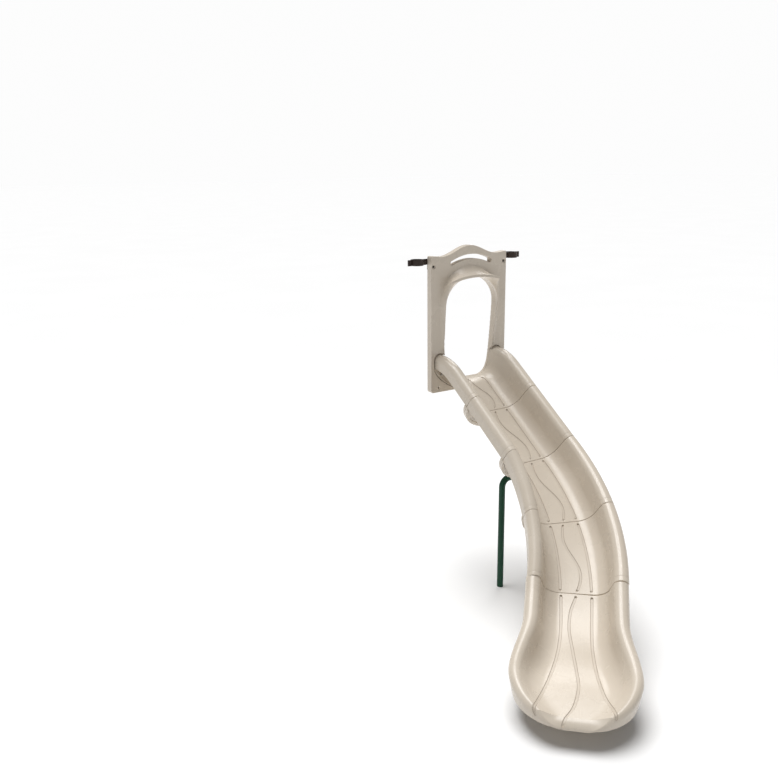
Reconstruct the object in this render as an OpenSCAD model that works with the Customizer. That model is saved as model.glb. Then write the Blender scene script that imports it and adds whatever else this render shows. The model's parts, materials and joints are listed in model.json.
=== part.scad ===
// Sectional S-curve wave slide with its entry hood, support leg and post clamps.
// Millimetres, +Z up. The origin is the centre of the two deck bolts, on the hood's back face.
// The slide leaves the deck along -Y and bends towards -X.

/* [Deck and posts] */
// Height of the deck's top above the ground
deck_height = 1524; // [1400:1:1830]
// Spacing of the two posts beside the hood, centre to centre
post_spacing = 914.4; // [890:0.1:1000]
// Outside diameter of a post
post_od = 88.9; // [76:0.1:101.6]

/* [Chute section] */
// Width of the flat bed between its two rounded corners
bed_w = 206; // [150:1:260]
// Radius of the corner between bed and wall
bed_corner_r = 109; // [70:1:125]
// Lean of the wall away from upright, in degrees
wall_lean = 12.3; // [5:0.1:18]
// Height of the rim's top above the bed
rim_h = 219; // [190:1:260]
// Radius of the rolled rim
rim_r = 49; // [35:1:55]
// Length of the straight skirt below the rolled rim
rim_skirt = 60; // [30:1:75]
// Thickness of the moulded wall
wall_t = 8; // [6:0.5:12]

/* [Run] */
// Slope of the bed between the entry and the exit, in degrees
slope = 34.5; // [28:0.1:38]
// Radius of the bed's hump at the entry
entry_bend_r = 221; // [190:1:400]
// Length of the entry section past its hump
entry_slope_len = 270; // [200:1:320]
// Length of each curved section along its middle
curve_len = 552; // [450:1:650]
// Turn of each curved section seen from above, in degrees
curve_turn = 21; // [10:0.1:30]
// Radius of the bed where it levels out at the exit
exit_bend_r = 1280; // [900:1:1500]
// Length of the level bed at the exit
exit_flat = 300; // [250:1:420]
// Turn of the exit past its flange seen from above, in degrees
exit_turn = 2; // [0:0.1:5]
// Height of the level bed above the ground
exit_bed_h = 180; // [150:1:300]
// Width over the flare of the exit
exit_w = 780; // [700:1:860]

/* [Joint flanges] */
// Thickness of one flange along the chute
flange_t = 22; // [14:1:30]
// Width over the flange
flange_w = 660; // [656:1:720]
// Depth of the flange below the bed
flange_depth = 163; // [130:1:190]
// Gap between two sections
seam_gap = 2; // [0.6:0.1:3]
// Diameter of the joint bolts
bolt_d = 10; // [8:0.5:12]
// Clearance of a bolt in its hole, on the radius
bolt_clearance = 0.75; // [0.4:0.05:1.5]

/* [Hood] */
// Width of the hood panel
hood_w = 728; // [700:1:760]
// Thickness of the hood panel
hood_t = 55; // [45:1:70]
// Height of the hood's top corners above the deck
hood_h = 979; // [900:1:1050]
// Rise of the hood's crest above its top corners
hood_crest = 65; // [30:1:110]
// Depth of the hood below the deck
hood_drop = 89; // [80:1:120]
// Thickness of the hood's skins
hood_skin = 6; // [4:0.5:9]
// Depth of the pocket that takes the entry flange
pocket_d = 28; // [24:1:34]
// Half width of the doorway at the springing of its arch
door_half_w = 264; // [235:1:275]
// Height of the doorway's crown above the deck
door_h = 811; // [760:1:850]
// Rise of the doorway's arch
door_arch = 222; // [180:1:300]
// Reach of the visor in front of the hood's face
visor_reach = 92; // [60:1:130]
// Spacing of the two deck bolts
deck_bolt_spacing = 588; // [560:1:610]
// Depth of the deck bolts below the deck's top
deck_bolt_drop = 51; // [45:1:65]

/* [Support leg] */
// Outside diameter of the leg's pipe
leg_od = 48.3; // [42:0.1:60.3]
// Wall of the leg's pipe
leg_wall = 3.2; // [2:0.1:5]
// Bend radius of the leg's pipe, at its middle
leg_bend_r = 65; // [55:1:90]
// Distance of the leg from the chute's middle
leg_offset = 162; // [130:1:200]

/* [Post clamps] */
// Thickness of the clamp's strap
clamp_t = 5; // [4:0.5:6]
// Height of the clamp's strap
clamp_h = 44; // [35:1:60]
// Height of the upper hood bolts above the deck
clamp_bolt_z = 900; // [850:1:920]
// Distance of the upper hood bolts from the hood's edge
clamp_bolt_inset = 24; // [20:1:35]

/* [Hidden] */

PLASTIC = [0.83, 0.79, 0.72];
GREEN = [0.04, 0.30, 0.16];
BROWN = [0.27, 0.20, 0.16];
ZINC = [0.75, 0.76, 0.77];

// ---------- Heights; the origin lies deck_bolt_drop below the deck's top ----------
deck_z = deck_bolt_drop;
ground_z = deck_z - deck_height;
bed_step = 6;                       // the bed starts this far below the deck's top
entry_z = deck_z - bed_step;
exit_z = ground_z + exit_bed_h;
hood_bottom = deck_z - hood_drop;

// ---------- Path of the bed: a frame is [place, heading, slope] ----------
function unit_ahead(h, a) = [-sin(h) * cos(a), -cos(h) * cos(a), -sin(a)];
function unit_side(h) = [cos(h), -sin(h), 0];
function unit_up(h, a) = cross(unit_ahead(h, a), unit_side(h));
function place(f, s, u, v) =
    f[0] + s * unit_ahead(f[1], f[2]) + u * unit_side(f[1]) + v * unit_up(f[1], f[2]);
function straight_on(f, s) = [f[0] + s * unit_ahead(f[1], f[2]), f[1], f[2]];

// A bend in height only, from the frame's slope to slope a, on radius r.
function dip(f, a, r) =
    let (run = r * abs(sin(a) - sin(f[2])), fall = r * abs(cos(a) - cos(f[2])))
    [f[0] + run * unit_ahead(f[1], 0) - [0, 0, fall], f[1], a];

// A bend in plan only: length s out of a full length l that turns by turn.
function swing(f, s, l, turn) =
    let (h = f[1] + turn * s / l, r = l * cos(f[2]) / (turn * PI / 180))
    [f[0] + [r * (cos(h) - cos(f[1])), -r * (sin(h) - sin(f[1])), -s * sin(f[2])], h, f[2]];

hump_len = entry_bend_r * slope * PI / 180;
level_len = exit_bend_r * slope * PI / 180;
entry_len = flange_t + hump_len + entry_slope_len;
exit_len = level_len + exit_flat;
fall_of_bends = (entry_bend_r + exit_bend_r) * (1 - cos(slope));
straight_len = (entry_z - exit_z - fall_of_bends) / sin(slope) - entry_slope_len - 2 * curve_len;

start = [[0, -hood_t + pocket_d, entry_z], 0, 0];
hump_start = straight_on(start, flange_t);
hump_end = dip(hump_start, slope, entry_bend_r);
joint_1 = straight_on(hump_end, entry_slope_len);
joint_2 = straight_on(joint_1, straight_len);
joint_3 = swing(joint_2, curve_len, curve_len, curve_turn);
joint_4 = swing(joint_3, curve_len, curve_len, curve_turn);
exit_start = [joint_4[0], joint_4[1] + exit_turn, joint_4[2]];
level_start = dip(exit_start, 0, exit_bend_r);
joint_frames = [joint_1, joint_2, joint_3, joint_4];

function entry_at(s) = s < flange_t
    ? straight_on(start, s)
    : s < flange_t + hump_len
    ? dip(hump_start, slope * (s - flange_t) / hump_len, entry_bend_r)
    : straight_on(hump_end, s - flange_t - hump_len);
function straight_at(s) = straight_on(joint_1, s);
function upper_curve_at(s) = swing(joint_2, s, curve_len, curve_turn);
function lower_curve_at(s) = swing(joint_3, s, curve_len, curve_turn);
function exit_at(s) = s < level_len
    ? dip(exit_start, slope * (1 - s / level_len), exit_bend_r)
    : straight_on(level_start, s - level_len);

// ---------- Cross-section: half outlines run from the bed to the skirt's lower end ----------
CORNER_STEPS = 6;
ROLL_STEPS = 9;
function roll_centre(b, rc, lean, h, r) =
    let (rise = h - r + r * sin(lean) - rc * (1 - sin(lean)))
    [b + rc * cos(lean) + rise * tan(lean) + r * cos(lean), h - r];
function half_outline(b, rc, lean, h, r, skirt, off, tuck = 0) =
    let (c = roll_centre(b, rc, lean, h, r))
    concat(
        [for (i = [0 : CORNER_STEPS]) let (a = i / CORNER_STEPS * (90 - lean))
            [b + (rc + off) * sin(a), rc - (rc + off) * cos(a)]],
        [for (i = [0 : ROLL_STEPS]) let (a = (180 - lean) * (1 - i / ROLL_STEPS))
            [c[0] + (r - off) * cos(a), c[1] + (r - off) * sin(a)]],
        [[c[0] + r - off - tuck, c[1] - skirt]]);
function both_sides(half) =
    concat([for (i = [len(half) - 1 : -1 : 0]) [-half[i][0], half[i][1]]], half);

chute_top = half_outline(bed_w / 2, bed_corner_r, wall_lean, rim_h, rim_r, rim_skirt, 0);
chute_under = half_outline(bed_w / 2, bed_corner_r, wall_lean, rim_h, rim_r, rim_skirt, wall_t);
OUTLINE_POINTS = len(chute_top);
roll_c = roll_centre(bed_w / 2, bed_corner_r, wall_lean, rim_h, rim_r);

// The flange's edge: a rounded U from under the bed up to the skirt.
FLANGE_SHARPNESS = 1.8;
flange_top_v = roll_c[1] - rim_skirt;
flange_edge = [for (i = [0 : OUTLINE_POINTS - 1])
    let (a = 90 * pow((i + 1) / OUTLINE_POINTS, 0.8))
    [flange_w / 2 * pow(sin(a), 2 / FLANGE_SHARPNESS),
     flange_top_v - (flange_top_v + flange_depth) * pow(cos(a), 2 / FLANGE_SHARPNESS)]];

// The entry's upper flange sits in the hood's pocket and stops above the hood's lower edge.
ENTRY_FLANGE_SHARPNESS = 1.6;
ENTRY_FLANGE_DIP = 12;              // how far the flange's curve would run below the hood
entry_flange_low = hood_bottom - entry_z + 3;
entry_flange_deep = flange_top_v + entry_z - hood_bottom + ENTRY_FLANGE_DIP;
function entry_edge(a, grow) = [
    (flange_w / 2 + grow) * pow(sin(a), 2 / ENTRY_FLANGE_SHARPNESS),
    flange_top_v - (entry_flange_deep + grow) * pow(cos(a), 2 / ENTRY_FLANGE_SHARPNESS)];
entry_flange_edge = [for (i = [0 : OUTLINE_POINTS - 1])
    let (p = entry_edge(90 * pow((i + 1) / OUTLINE_POINTS, 0.8), 0)) [p[0], max(p[1], entry_flange_low)]];

// Bolt places in a flange, as [across, above the bed]
function flange_bolts() = let (half = [
        [bed_w / 2 - 38, -(wall_t + flange_depth) / 2],
        [bed_w / 2 + 86, -38],
        [bed_w / 2 + 163, 58]])
    concat(half, [for (p = half) [-p[0], p[1]]]);
function entry_flange_bolts() = let (half = [
        [bed_w / 2 - 38, (entry_flange_low - wall_t) / 2],
        [bed_w / 2 + 47, -20],
        [bed_w / 2 + 163, 58]])
    concat(half, [for (p = half) [-p[0], p[1]]]);

// ---------- A moulded chute section: skin between two swept outlines ----------
// Stations are [frame, top outline, lower outline], both outlines from side to side.
module swept_skin(stations) {
    n = len(stations[0][1]);
    m = len(stations);
    points = [for (st = stations) for (line = [st[1], st[2]]) for (p = line) place(st[0], 0, p[0], p[1])];
    function at(j, k, i) = j * 2 * n + k * n + i;
    function quad(a, b, c, d) = [[a, c, b], [a, d, c]];
    skins = [for (j = [0 : m - 2]) for (i = [0 : n - 2]) for (k = [0, 1])
        each k == 0 ? quad(at(j, 0, i), at(j + 1, 0, i), at(j + 1, 0, i + 1), at(j, 0, i + 1))
                    : quad(at(j, 1, i), at(j, 1, i + 1), at(j + 1, 1, i + 1), at(j + 1, 1, i))];
    edges = [for (j = [0 : m - 2]) for (e = [0, 1])
        each e == 0 ? quad(at(j, 0, 0), at(j, 1, 0), at(j + 1, 1, 0), at(j + 1, 0, 0))
                    : quad(at(j, 0, n - 1), at(j + 1, 0, n - 1), at(j + 1, 1, n - 1), at(j, 1, n - 1))];
    ends = [for (i = [0 : n - 2]) for (e = [0, 1])
        each e == 0 ? quad(at(0, 0, i), at(0, 0, i + 1), at(0, 1, i + 1), at(0, 1, i))
                    : quad(at(m - 1, 0, i), at(m - 1, 1, i), at(m - 1, 1, i + 1), at(m - 1, 0, i + 1))];
    polyhedron(points, concat(skins, edges, ends), convexity = 10);
}

FLANGE_DRAFT = 1;                   // length over which a flange runs out into the skin
flange_lengths = [flange_t, flange_t + FLANGE_DRAFT];
top_line = both_sides(chute_top);
skin_line = both_sides(chute_under);
flange_line = both_sides(flange_edge);
function skin_station(f) = [f, top_line, skin_line];
function flange_station(f) = [f, top_line, flange_line];
function entry_flange_station(f) = [f, top_line, both_sides(entry_flange_edge)];

module bolt_row(f, from, to, r, places = flange_bolts()) {
    for (p = places)
        translate(place(f, from, p[0], p[1]))
            rotate([0, 0, -f[1]]) rotate([90 + f[2], 0, 0])
                cylinder(h = to - from, r = r, $fn = 24);
}

HOLE_MARGIN = 4;                    // how far a hole's cutter runs past the flange
hole_r = bolt_d / 2 + bolt_clearance;

// ---------- Entry, straight and curved sections ----------
HUMP_STEPS = 5;
module entry_section() {
    ring = [for (i = [1 : HUMP_STEPS]) flange_t + hump_len * i / HUMP_STEPS];
    color(PLASTIC) difference() {
        swept_skin([
            entry_flange_station(entry_at(seam_gap / 2)), entry_flange_station(entry_at(flange_lengths[0])),
            skin_station(entry_at(flange_lengths[1])),
            for (s = ring) skin_station(entry_at(s)),
            skin_station(entry_at(entry_len - flange_lengths[1])),
            flange_station(entry_at(entry_len - flange_lengths[0])),
            flange_station(entry_at(entry_len - seam_gap / 2))]);
        bolt_row(start, -HOLE_MARGIN, flange_t + HOLE_MARGIN, hole_r, entry_flange_bolts());
        bolt_row(joint_1, -flange_t - HOLE_MARGIN, HOLE_MARGIN, hole_r);
    }
}

module plain_section(first, last, stations) {
    color(PLASTIC) difference() {
        swept_skin(stations);
        bolt_row(first, -HOLE_MARGIN, flange_t + HOLE_MARGIN, hole_r);
        bolt_row(last, -flange_t - HOLE_MARGIN, HOLE_MARGIN, hole_r);
    }
}

module straight_section() {
    plain_section(joint_1, joint_2, [
        flange_station(straight_at(seam_gap / 2)), flange_station(straight_at(flange_lengths[0])),
        skin_station(straight_at(flange_lengths[1])),
        skin_station(straight_at(straight_len - flange_lengths[1])),
        flange_station(straight_at(straight_len - flange_lengths[0])),
        flange_station(straight_at(straight_len - seam_gap / 2))]);
}

CURVE_STEPS = 6;
module upper_curve_section() {
    plain_section(joint_2, joint_3, [
        flange_station(upper_curve_at(seam_gap / 2)), flange_station(upper_curve_at(flange_lengths[0])),
        for (i = [0 : CURVE_STEPS])
            skin_station(upper_curve_at(flange_lengths[1]
                + (curve_len - 2 * flange_lengths[1]) * i / CURVE_STEPS)),
        flange_station(upper_curve_at(curve_len - flange_lengths[0])),
        flange_station(upper_curve_at(curve_len - seam_gap / 2))]);
}

module lower_curve_section() {
    plain_section(joint_3, joint_4, [
        flange_station(lower_curve_at(seam_gap / 2)), flange_station(lower_curve_at(flange_lengths[0])),
        for (i = [0 : CURVE_STEPS])
            skin_station(lower_curve_at(flange_lengths[1]
                + (curve_len - 2 * flange_lengths[1]) * i / CURVE_STEPS)),
        flange_station(lower_curve_at(curve_len - flange_lengths[0])),
        flange_station(lower_curve_at(curve_len - seam_gap / 2))]);
}

// ---------- Exit section: the rim flares, sinks and closes round the front ----------
LIP = 48;                           // reach of the lip past the end of the level bed
LIP_DROP = 49;                      // how far the lip rolls down
exit_reach = exit_len + LIP;
FLARE_FROM = 0.3;                   // shares of the exit's length
FLARE_TO = 0.7;
NOSE_HALF_W = 88;
NOSE_ROUND = 1.8;                   // exponent of the nose's outline; 2 is an ellipse
NOSE_RIM_H = 10;                    // what is left of the rim at the nose
NOSE_RIM_R = 28;
NOSE_LEAN = 80;
LIP_RIM_H = 2;                      // what is left of the rim at the lip's edge
LIP_RIM_R = 8;
LIP_ROUND = 0.65;                   // 0 is a straight slope, 1 a quarter round
BODY_FROM = 0.1;                    // the skirt grows to the body's full depth between these shares
BODY_TO = 0.4;
BODY_DROP = 42;                     // depth of the body's lower edge below the bed
BODY_TUCK = 0.2;                    // lean of the body's sides, inwards per unit of depth
MIN_SKIRT = 4;
function ease(t) = let (c = min(1, max(0, t))) c * c * (3 - 2 * c);
function mix(a, b, t) = a + (b - a) * t;
chute_half_w = roll_c[0] + rim_r;

function exit_half_w(w) = w < FLARE_TO
    ? mix(chute_half_w, exit_w / 2, ease((w - FLARE_FROM) / (FLARE_TO - FLARE_FROM)))
    : let (t = (w - FLARE_TO) / (1 - FLARE_TO))
      mix(NOSE_HALF_W, exit_w / 2, pow(max(0, 1 - pow(t, NOSE_ROUND)), 1 / NOSE_ROUND));
// How far the rim has sunk towards the nose, from 0 to 1.
function exit_sunk(w) = 1 - pow(1 - pow(w, 2.5), 1.1);
function exit_half(w, off) =
    let (sunk = exit_sunk(w), h = mix(mix(rim_h, NOSE_RIM_H, sunk), LIP_RIM_H, past_bed(w)),
         r = mix(mix(rim_r, NOSE_RIM_R, sunk), LIP_RIM_R, past_bed(w)),
         lean = mix(wall_lean, NOSE_LEAN, pow(sunk, 1.3)),
         rc = min(mix(bed_corner_r, 170, sunk), (h - r + r * sin(lean)) / (1 - sin(lean))),
         b = exit_half_w(w) - r - roll_centre(0, rc, lean, h, r)[0],
         body_skirt = max(MIN_SKIRT, h - r + BODY_DROP - lip_drop(w)),
         body_share = ease((w - BODY_FROM) / (BODY_TO - BODY_FROM)),
         skirt = mix(rim_skirt, body_skirt, body_share))
    half_outline(b, rc, lean, h, r, skirt, off, BODY_TUCK * skirt * body_share);
// The lip past the level bed starts with a crease and then rolls down.
function past_bed(w) = min(1, max(0, w * exit_reach - exit_len) / LIP);
function lip_drop(w) = LIP_DROP * mix(past_bed(w), 1 - sqrt(1 - pow(past_bed(w), 2)), LIP_ROUND);
function exit_station(w) =
    let (f = exit_at(w * exit_reach))
    [[f[0] - [0, 0, lip_drop(w)], f[1], f[2]], both_sides(exit_half(w, 0)), both_sides(exit_half(w, wall_t))];

EXIT_STATIONS = 22;
EXIT_CROWDING = 1.7;
EXIT_FOOT_BACK = 240;               // from the end of the level bed to the foot's centre
foot_c = exit_at(exit_len - EXIT_FOOT_BACK)[0];
foot_top_r = 132;
foot_base_r = 92;
foot_socket_h = 26;
foot_fit = 0.5;                     // gap between the foot and its socket
socket_r = foot_top_r + foot_fit;

module exit_section() {
    // stations closer together towards the nose
    shares = [for (i = [1 : EXIT_STATIONS]) 0.998 * (1 - pow(1 - i / EXIT_STATIONS, EXIT_CROWDING))];
    color(PLASTIC) difference() {
        union() {
            swept_skin([
                flange_station(exit_at(seam_gap / 2)), flange_station(exit_at(flange_lengths[0])),
                skin_station(exit_at(flange_lengths[1])),
                for (w = shares) exit_station(w)]);
            // socket ring for the foot
            translate([foot_c[0], foot_c[1], exit_z - wall_t - foot_socket_h]) difference() {
                cylinder(h = foot_socket_h + wall_t / 2, r = socket_r + wall_t, $fn = 48);
                translate([0, 0, -1]) cylinder(h = foot_socket_h + 1, r = socket_r, $fn = 48);
            }
        }
        bolt_row(joint_4, -HOLE_MARGIN, flange_t + HOLE_MARGIN, hole_r);
        foot_screw_row(-1, foot_screw_r + FOOT_SCREW_GAP, 2 * wall_t + 4);
    }
}

foot_screw_d = 8;
foot_screw_r = foot_screw_d / 2;
FOOT_SCREW_GAP = 0.3;
FOOT_SCREWS = 4;
module foot_screw_row(from, r, length) {
    for (i = [0 : FOOT_SCREWS - 1])
        translate([foot_c[0], foot_c[1], exit_z - wall_t - foot_socket_h / 2])
            rotate([0, 0, 45 + i * 360 / FOOT_SCREWS]) rotate([0, 90, 0])
                translate([0, 0, foot_top_r - wall_t + from])
                    cylinder(h = length, r = r, $fn = 24);
}

module exit_foot() {
    color(PLASTIC) difference() {
        translate([foot_c[0], foot_c[1], ground_z]) rotate_extrude($fn = 64)
            polygon([[0, 0], [foot_base_r, 0], [foot_top_r, 70], [foot_top_r, exit_bed_h - wall_t - 1],
                     [foot_top_r - wall_t, exit_bed_h - wall_t - 1], [foot_top_r - wall_t, 72],
                     [foot_base_r - wall_t, wall_t], [0, wall_t]]);
        foot_screw_row(-2, foot_screw_r + FOOT_SCREW_GAP, 2 * wall_t + 4);
    }
}

module exit_foot_screws() {
    head_from = foot_fit + 2 * wall_t;
    color(ZINC) {
        foot_screw_row(0, foot_screw_r, head_from + 1);
        foot_screw_row(head_from, foot_screw_d * 0.85, 5);
    }
}

// ---------- Hood panel ----------
hood_dip = 8;                       // how far the top edge dips between corner and crest
function hood_top(x) = let (half = hood_w / 2, dip_x = 0.72 * half, a = abs(x))
    a < dip_x ? deck_z + hood_h - hood_dip + (hood_crest + hood_dip) * (1 + cos(180 * a / dip_x)) / 2
              : deck_z + hood_h - hood_dip * (1 + cos(180 * (a - dip_x) / (half - dip_x))) / 2;
CORNER = 22;
module hood_outline() {
    polygon(concat(
        [for (i = [0 : 36]) let (x = hood_w * (0.5 - i / 36)) [x, hood_top(x)]],
        [for (a = [180 : 15 : 270])
            [CORNER * (1 + cos(a)) - hood_w / 2, hood_bottom + CORNER * (1 + sin(a))]],
        [for (a = [270 : 15 : 360])
            [hood_w / 2 - CORNER * (1 - cos(a)), hood_bottom + CORNER * (1 + sin(a))]]));
}

// The doorway's half outline: chute bed and wall below, jamb and arch above.
door_spring_z = deck_z + door_h - door_arch;
wall_end = chute_top[CORNER_STEPS + 1];
JAMB_BEND = 0.6;                    // exponent of the jamb's widening from chute wall to springing
function jamb_x(z) = let (foot = entry_z + wall_end[1])
    mix(wall_end[0], door_half_w, pow((z - foot) / (door_spring_z - foot), JAMB_BEND));
door_half = concat(
    [for (i = [0 : CORNER_STEPS + 1]) [chute_top[i][0], entry_z + chute_top[i][1]]],
    [for (t = [0.12 : 0.22 : 0.9]) let (z = mix(entry_z + wall_end[1], door_spring_z, t)) [jamb_x(z), z]],
    [for (a = [0 : 7.5 : 90]) [door_half_w * cos(a), door_spring_z + door_arch * sin(a)]]);
module doorway() {
    polygon(concat(door_half,
        [for (i = [len(door_half) - 2 : -1 : 0]) [-door_half[i][0], door_half[i][1]]]));
}

SLOT_HALF = 180;
SLOT_RISE = 41;
SLOT_H = 35;
slot_z = deck_z + 916;
slot_x = 16;                        // the slot sits a little to one side of the crest
function slot_mid(x) = slot_z + SLOT_RISE * (1 - pow(x / SLOT_HALF, 2));
module grip_slot() {
    translate([slot_x, 0]) grip_slot_shape();
}
module grip_slot_shape() {
    xs = [for (i = [-10 : 10]) SLOT_HALF * i / 10];
    polygon(concat([for (x = xs) [x, slot_mid(x) + SLOT_H / 2]],
        [for (i = [20 : -1 : 0]) [xs[i], slot_mid(xs[i]) - SLOT_H / 2]]));
    for (x = [-SLOT_HALF, SLOT_HALF]) translate([x, slot_mid(x)]) circle(d = SLOT_H, $fn = 24);
}

POCKET_GAP = 9;                     // gap between the pocket's edge and the rim
FLANGE_GAP = 4;                     // gap between the pocket's edge and the flange
module pocket_outline() {
    r = rim_r + POCKET_GAP;
    c = [roll_c[0], entry_z + roll_c[1]];
    for (side = [-1, 1]) translate([side * c[0], c[1]]) circle(r = r, $fn = 48);
    under = [for (i = [0 : 32]) let (p = entry_edge(90 * i / 32, FLANGE_GAP)) [p[0], entry_z + p[1]]];
    polygon(concat(both_sides(under), [[c[0] + r, c[1]], [-c[0] - r, c[1]]]));
}

deck_bolt_x = deck_bolt_spacing / 2;
hood_bolt_x = hood_w / 2 - clamp_bolt_inset;
hood_bolt_z = deck_z + clamp_bolt_z;
BOSS_R = 17;
DECK_HOLE_R = 5.5;
HOOD_SINK = 8;                      // depth of the counterbores for the upper bolt heads
module bolt_bosses() {
    for (side = [-1, 1]) {
        translate([side * deck_bolt_x, 0]) circle(r = BOSS_R, $fn = 32);
        translate([side * hood_bolt_x, hood_bolt_z]) circle(r = BOSS_R, $fn = 32);
        for (p = entry_flange_bolts()) translate([p[0], entry_z + p[1]]) circle(r = BOSS_R, $fn = 32);
    }
}

// Extrudes a flat shape drawn in X and Z from y = -from to y = -to.
module slab(from, to) {
    translate([0, -from, 0]) rotate([90, 0, 0]) linear_extrude(to - from) children();
}

// A raised lip round the doorway that grows into a visor with a straight brim over its arch.
// Each ring runs from the doorway's edge over the lip's inner and outer edges to the face.
LIP_IN = 11;                        // how far the lip curls in over the doorway
LIP_T = 14;
LIP_H = [10, 44];                   // height of the lip on the face, at the chute and at the arch
LIP_FOOT = 36;                      // the lip starts this far above the chute's rims
lip_top_rise = door_arch - 4;
BRIM_HALF_W = 232;
BRIM_RISE = 32;                     // camber of the brim
BRIM_FROM = 30;                     // angle on the arch at which the brim begins
brim_z = deck_z + 790;
visor_root = [276, 300];            // half width and rise of the visor on the face
function lip_ring(edge, tip, crest, root, height) = [
    [edge[0], -hood_t + 2, edge[1]], [tip[0], -hood_t - height, tip[1]],
    [crest[0], -hood_t - height + 3, crest[1]], [root[0], -hood_t + 2, root[1]]];
function jamb_ring(t) =
    let (z = mix(entry_z + rim_h + LIP_FOOT, door_spring_z, t), x = jamb_x(z))
    lip_ring([x, z], [x - LIP_IN, z], [x - LIP_IN + LIP_T, z], [x + mix(LIP_T, LIP_T + 2, t), z],
        mix(LIP_H[0], LIP_H[1], t * t));
function arch_ring(a) =
    let (n = [cos(a), sin(a)], tip = [(door_half_w - LIP_IN) * n[0], door_spring_z + lip_top_rise * n[1]],
         along = max(0, a - BRIM_FROM) / (90 - BRIM_FROM),
         brim = [BRIM_HALF_W * min(1, cos(a) / cos(BRIM_FROM)), brim_z + BRIM_RISE * sin(90 * along)],
         share = ease(a / BRIM_FROM))
    lip_ring([door_half_w * n[0], door_spring_z + door_arch * n[1]], tip,
        [mix(tip[0] + LIP_T * n[0], brim[0], share), mix(tip[1] + LIP_T * n[1], brim[1], share)],
        [visor_root[0] * n[0] + 4 * (1 - share), door_spring_z + visor_root[1] * n[1]],
        mix(LIP_H[1], visor_reach, ease(a / 60)));
lip_half = concat([for (t = [0, 0.33, 0.66]) jamb_ring(t)], [for (a = [0 : 6 : 90]) arch_ring(a)]);
module lip_and_visor() {
    rings = concat(lip_half,
        [for (i = [len(lip_half) - 2 : -1 : 0]) [for (p = lip_half[i]) [-p[0], p[1], p[2]]]]);
    m = len(rings);
    polyhedron([for (r = rings) for (p = r) p], concat(
        [for (j = [0 : m - 2]) for (k = [0 : 3]) let (a = 4 * j + k, b = 4 * j + (k + 1) % 4)
            each [[a, a + 4, b + 4], [a, b + 4, b]]],
        [[0, 1, 2], [0, 2, 3]],
        [[4 * m - 4, 4 * m - 2, 4 * m - 3], [4 * m - 4, 4 * m - 1, 4 * m - 2]]), convexity = 8);
}

module hood_panel() {
    color(PLASTIC) difference() {
        union() {
            slab(0, hood_t) difference() {
                hood_outline();
                grip_slot();
            }
            lip_and_visor();
        }
        slab(-1, hood_t + 1) doorway();
        slab(hood_t - pocket_d, hood_t + 1) pocket_outline();
        // hollow between the skins, behind the face and behind the pocket
        slab(hood_skin, hood_t - hood_skin) offset(delta = -hood_skin) difference() {
            hood_outline();
            union() { pocket_outline(); doorway(); grip_slot(); bolt_bosses(); }
        }
        slab(hood_skin, hood_t - pocket_d - hood_skin) offset(delta = -hood_skin) difference() {
            intersection() { hood_outline(); pocket_outline(); }
            union() { doorway(); bolt_bosses(); }
        }
        for (side = [-1, 1]) {
            translate([side * deck_bolt_x, 1, 0]) rotate([90, 0, 0])
                cylinder(h = hood_t + 2, r = DECK_HOLE_R, $fn = 32);
            translate([side * hood_bolt_x, 1, hood_bolt_z]) rotate([90, 0, 0])
                cylinder(h = hood_t + 2, r = hole_r, $fn = 32);
            translate([side * hood_bolt_x, HOOD_SINK - hood_t, hood_bolt_z]) rotate([90, 0, 0])
                cylinder(h = HOOD_SINK + 2, r = 12, $fn = 32);
        }
        for (p = entry_flange_bolts())
            translate([p[0], 1, entry_z + p[1]]) rotate([90, 0, 0])
                cylinder(h = hood_t, r = hole_r, $fn = 32);
    }
}

// ---------- Support leg under the second joint ----------
BRACKET_T = 8;
BRACKET_TOP = -45;                  // edges of the bracket plate, above the bed
bracket_low = -flange_depth - 12;
arm_place = place(joint_2, -flange_t - BRACKET_T / 2, 0, bracket_low - leg_od / 2);
arm_end_x = 105;
module support_leg() {
    corner = [-leg_offset, arm_place[1], arm_place[2]];
    color(GREEN) {
        difference() {
            union() {
                translate([corner[0], corner[1], ground_z])
                    cylinder(h = corner[2] - leg_bend_r - ground_z, d = leg_od, $fn = 48);
                translate([corner[0] + leg_bend_r, corner[1], corner[2] - leg_bend_r]) rotate([90, 0, 0])
                    rotate([0, 0, 90]) rotate_extrude(angle = 90, $fn = 48)
                        translate([leg_bend_r, 0]) circle(d = leg_od, $fn = 48);
                translate([corner[0] + leg_bend_r, corner[1], corner[2]]) rotate([0, 90, 0])
                    cylinder(h = arm_end_x - corner[0] - leg_bend_r, d = leg_od, $fn = 48);
            }
            translate([corner[0], corner[1], ground_z - 1])
                cylinder(h = corner[2] - leg_bend_r - ground_z + 1, d = leg_od - 2 * leg_wall, $fn = 48);
            translate([corner[0] + leg_bend_r, corner[1], corner[2] - leg_bend_r]) rotate([90, 0, 0])
                rotate([0, 0, 90]) rotate_extrude(angle = 90, $fn = 48)
                    translate([leg_bend_r, 0]) circle(d = leg_od - 2 * leg_wall, $fn = 48);
            translate([corner[0] + leg_bend_r, corner[1], corner[2]]) rotate([0, 90, 0])
                cylinder(h = arm_end_x - corner[0] - leg_bend_r + 1, d = leg_od - 2 * leg_wall, $fn = 48);
        }
    }
}

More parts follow.
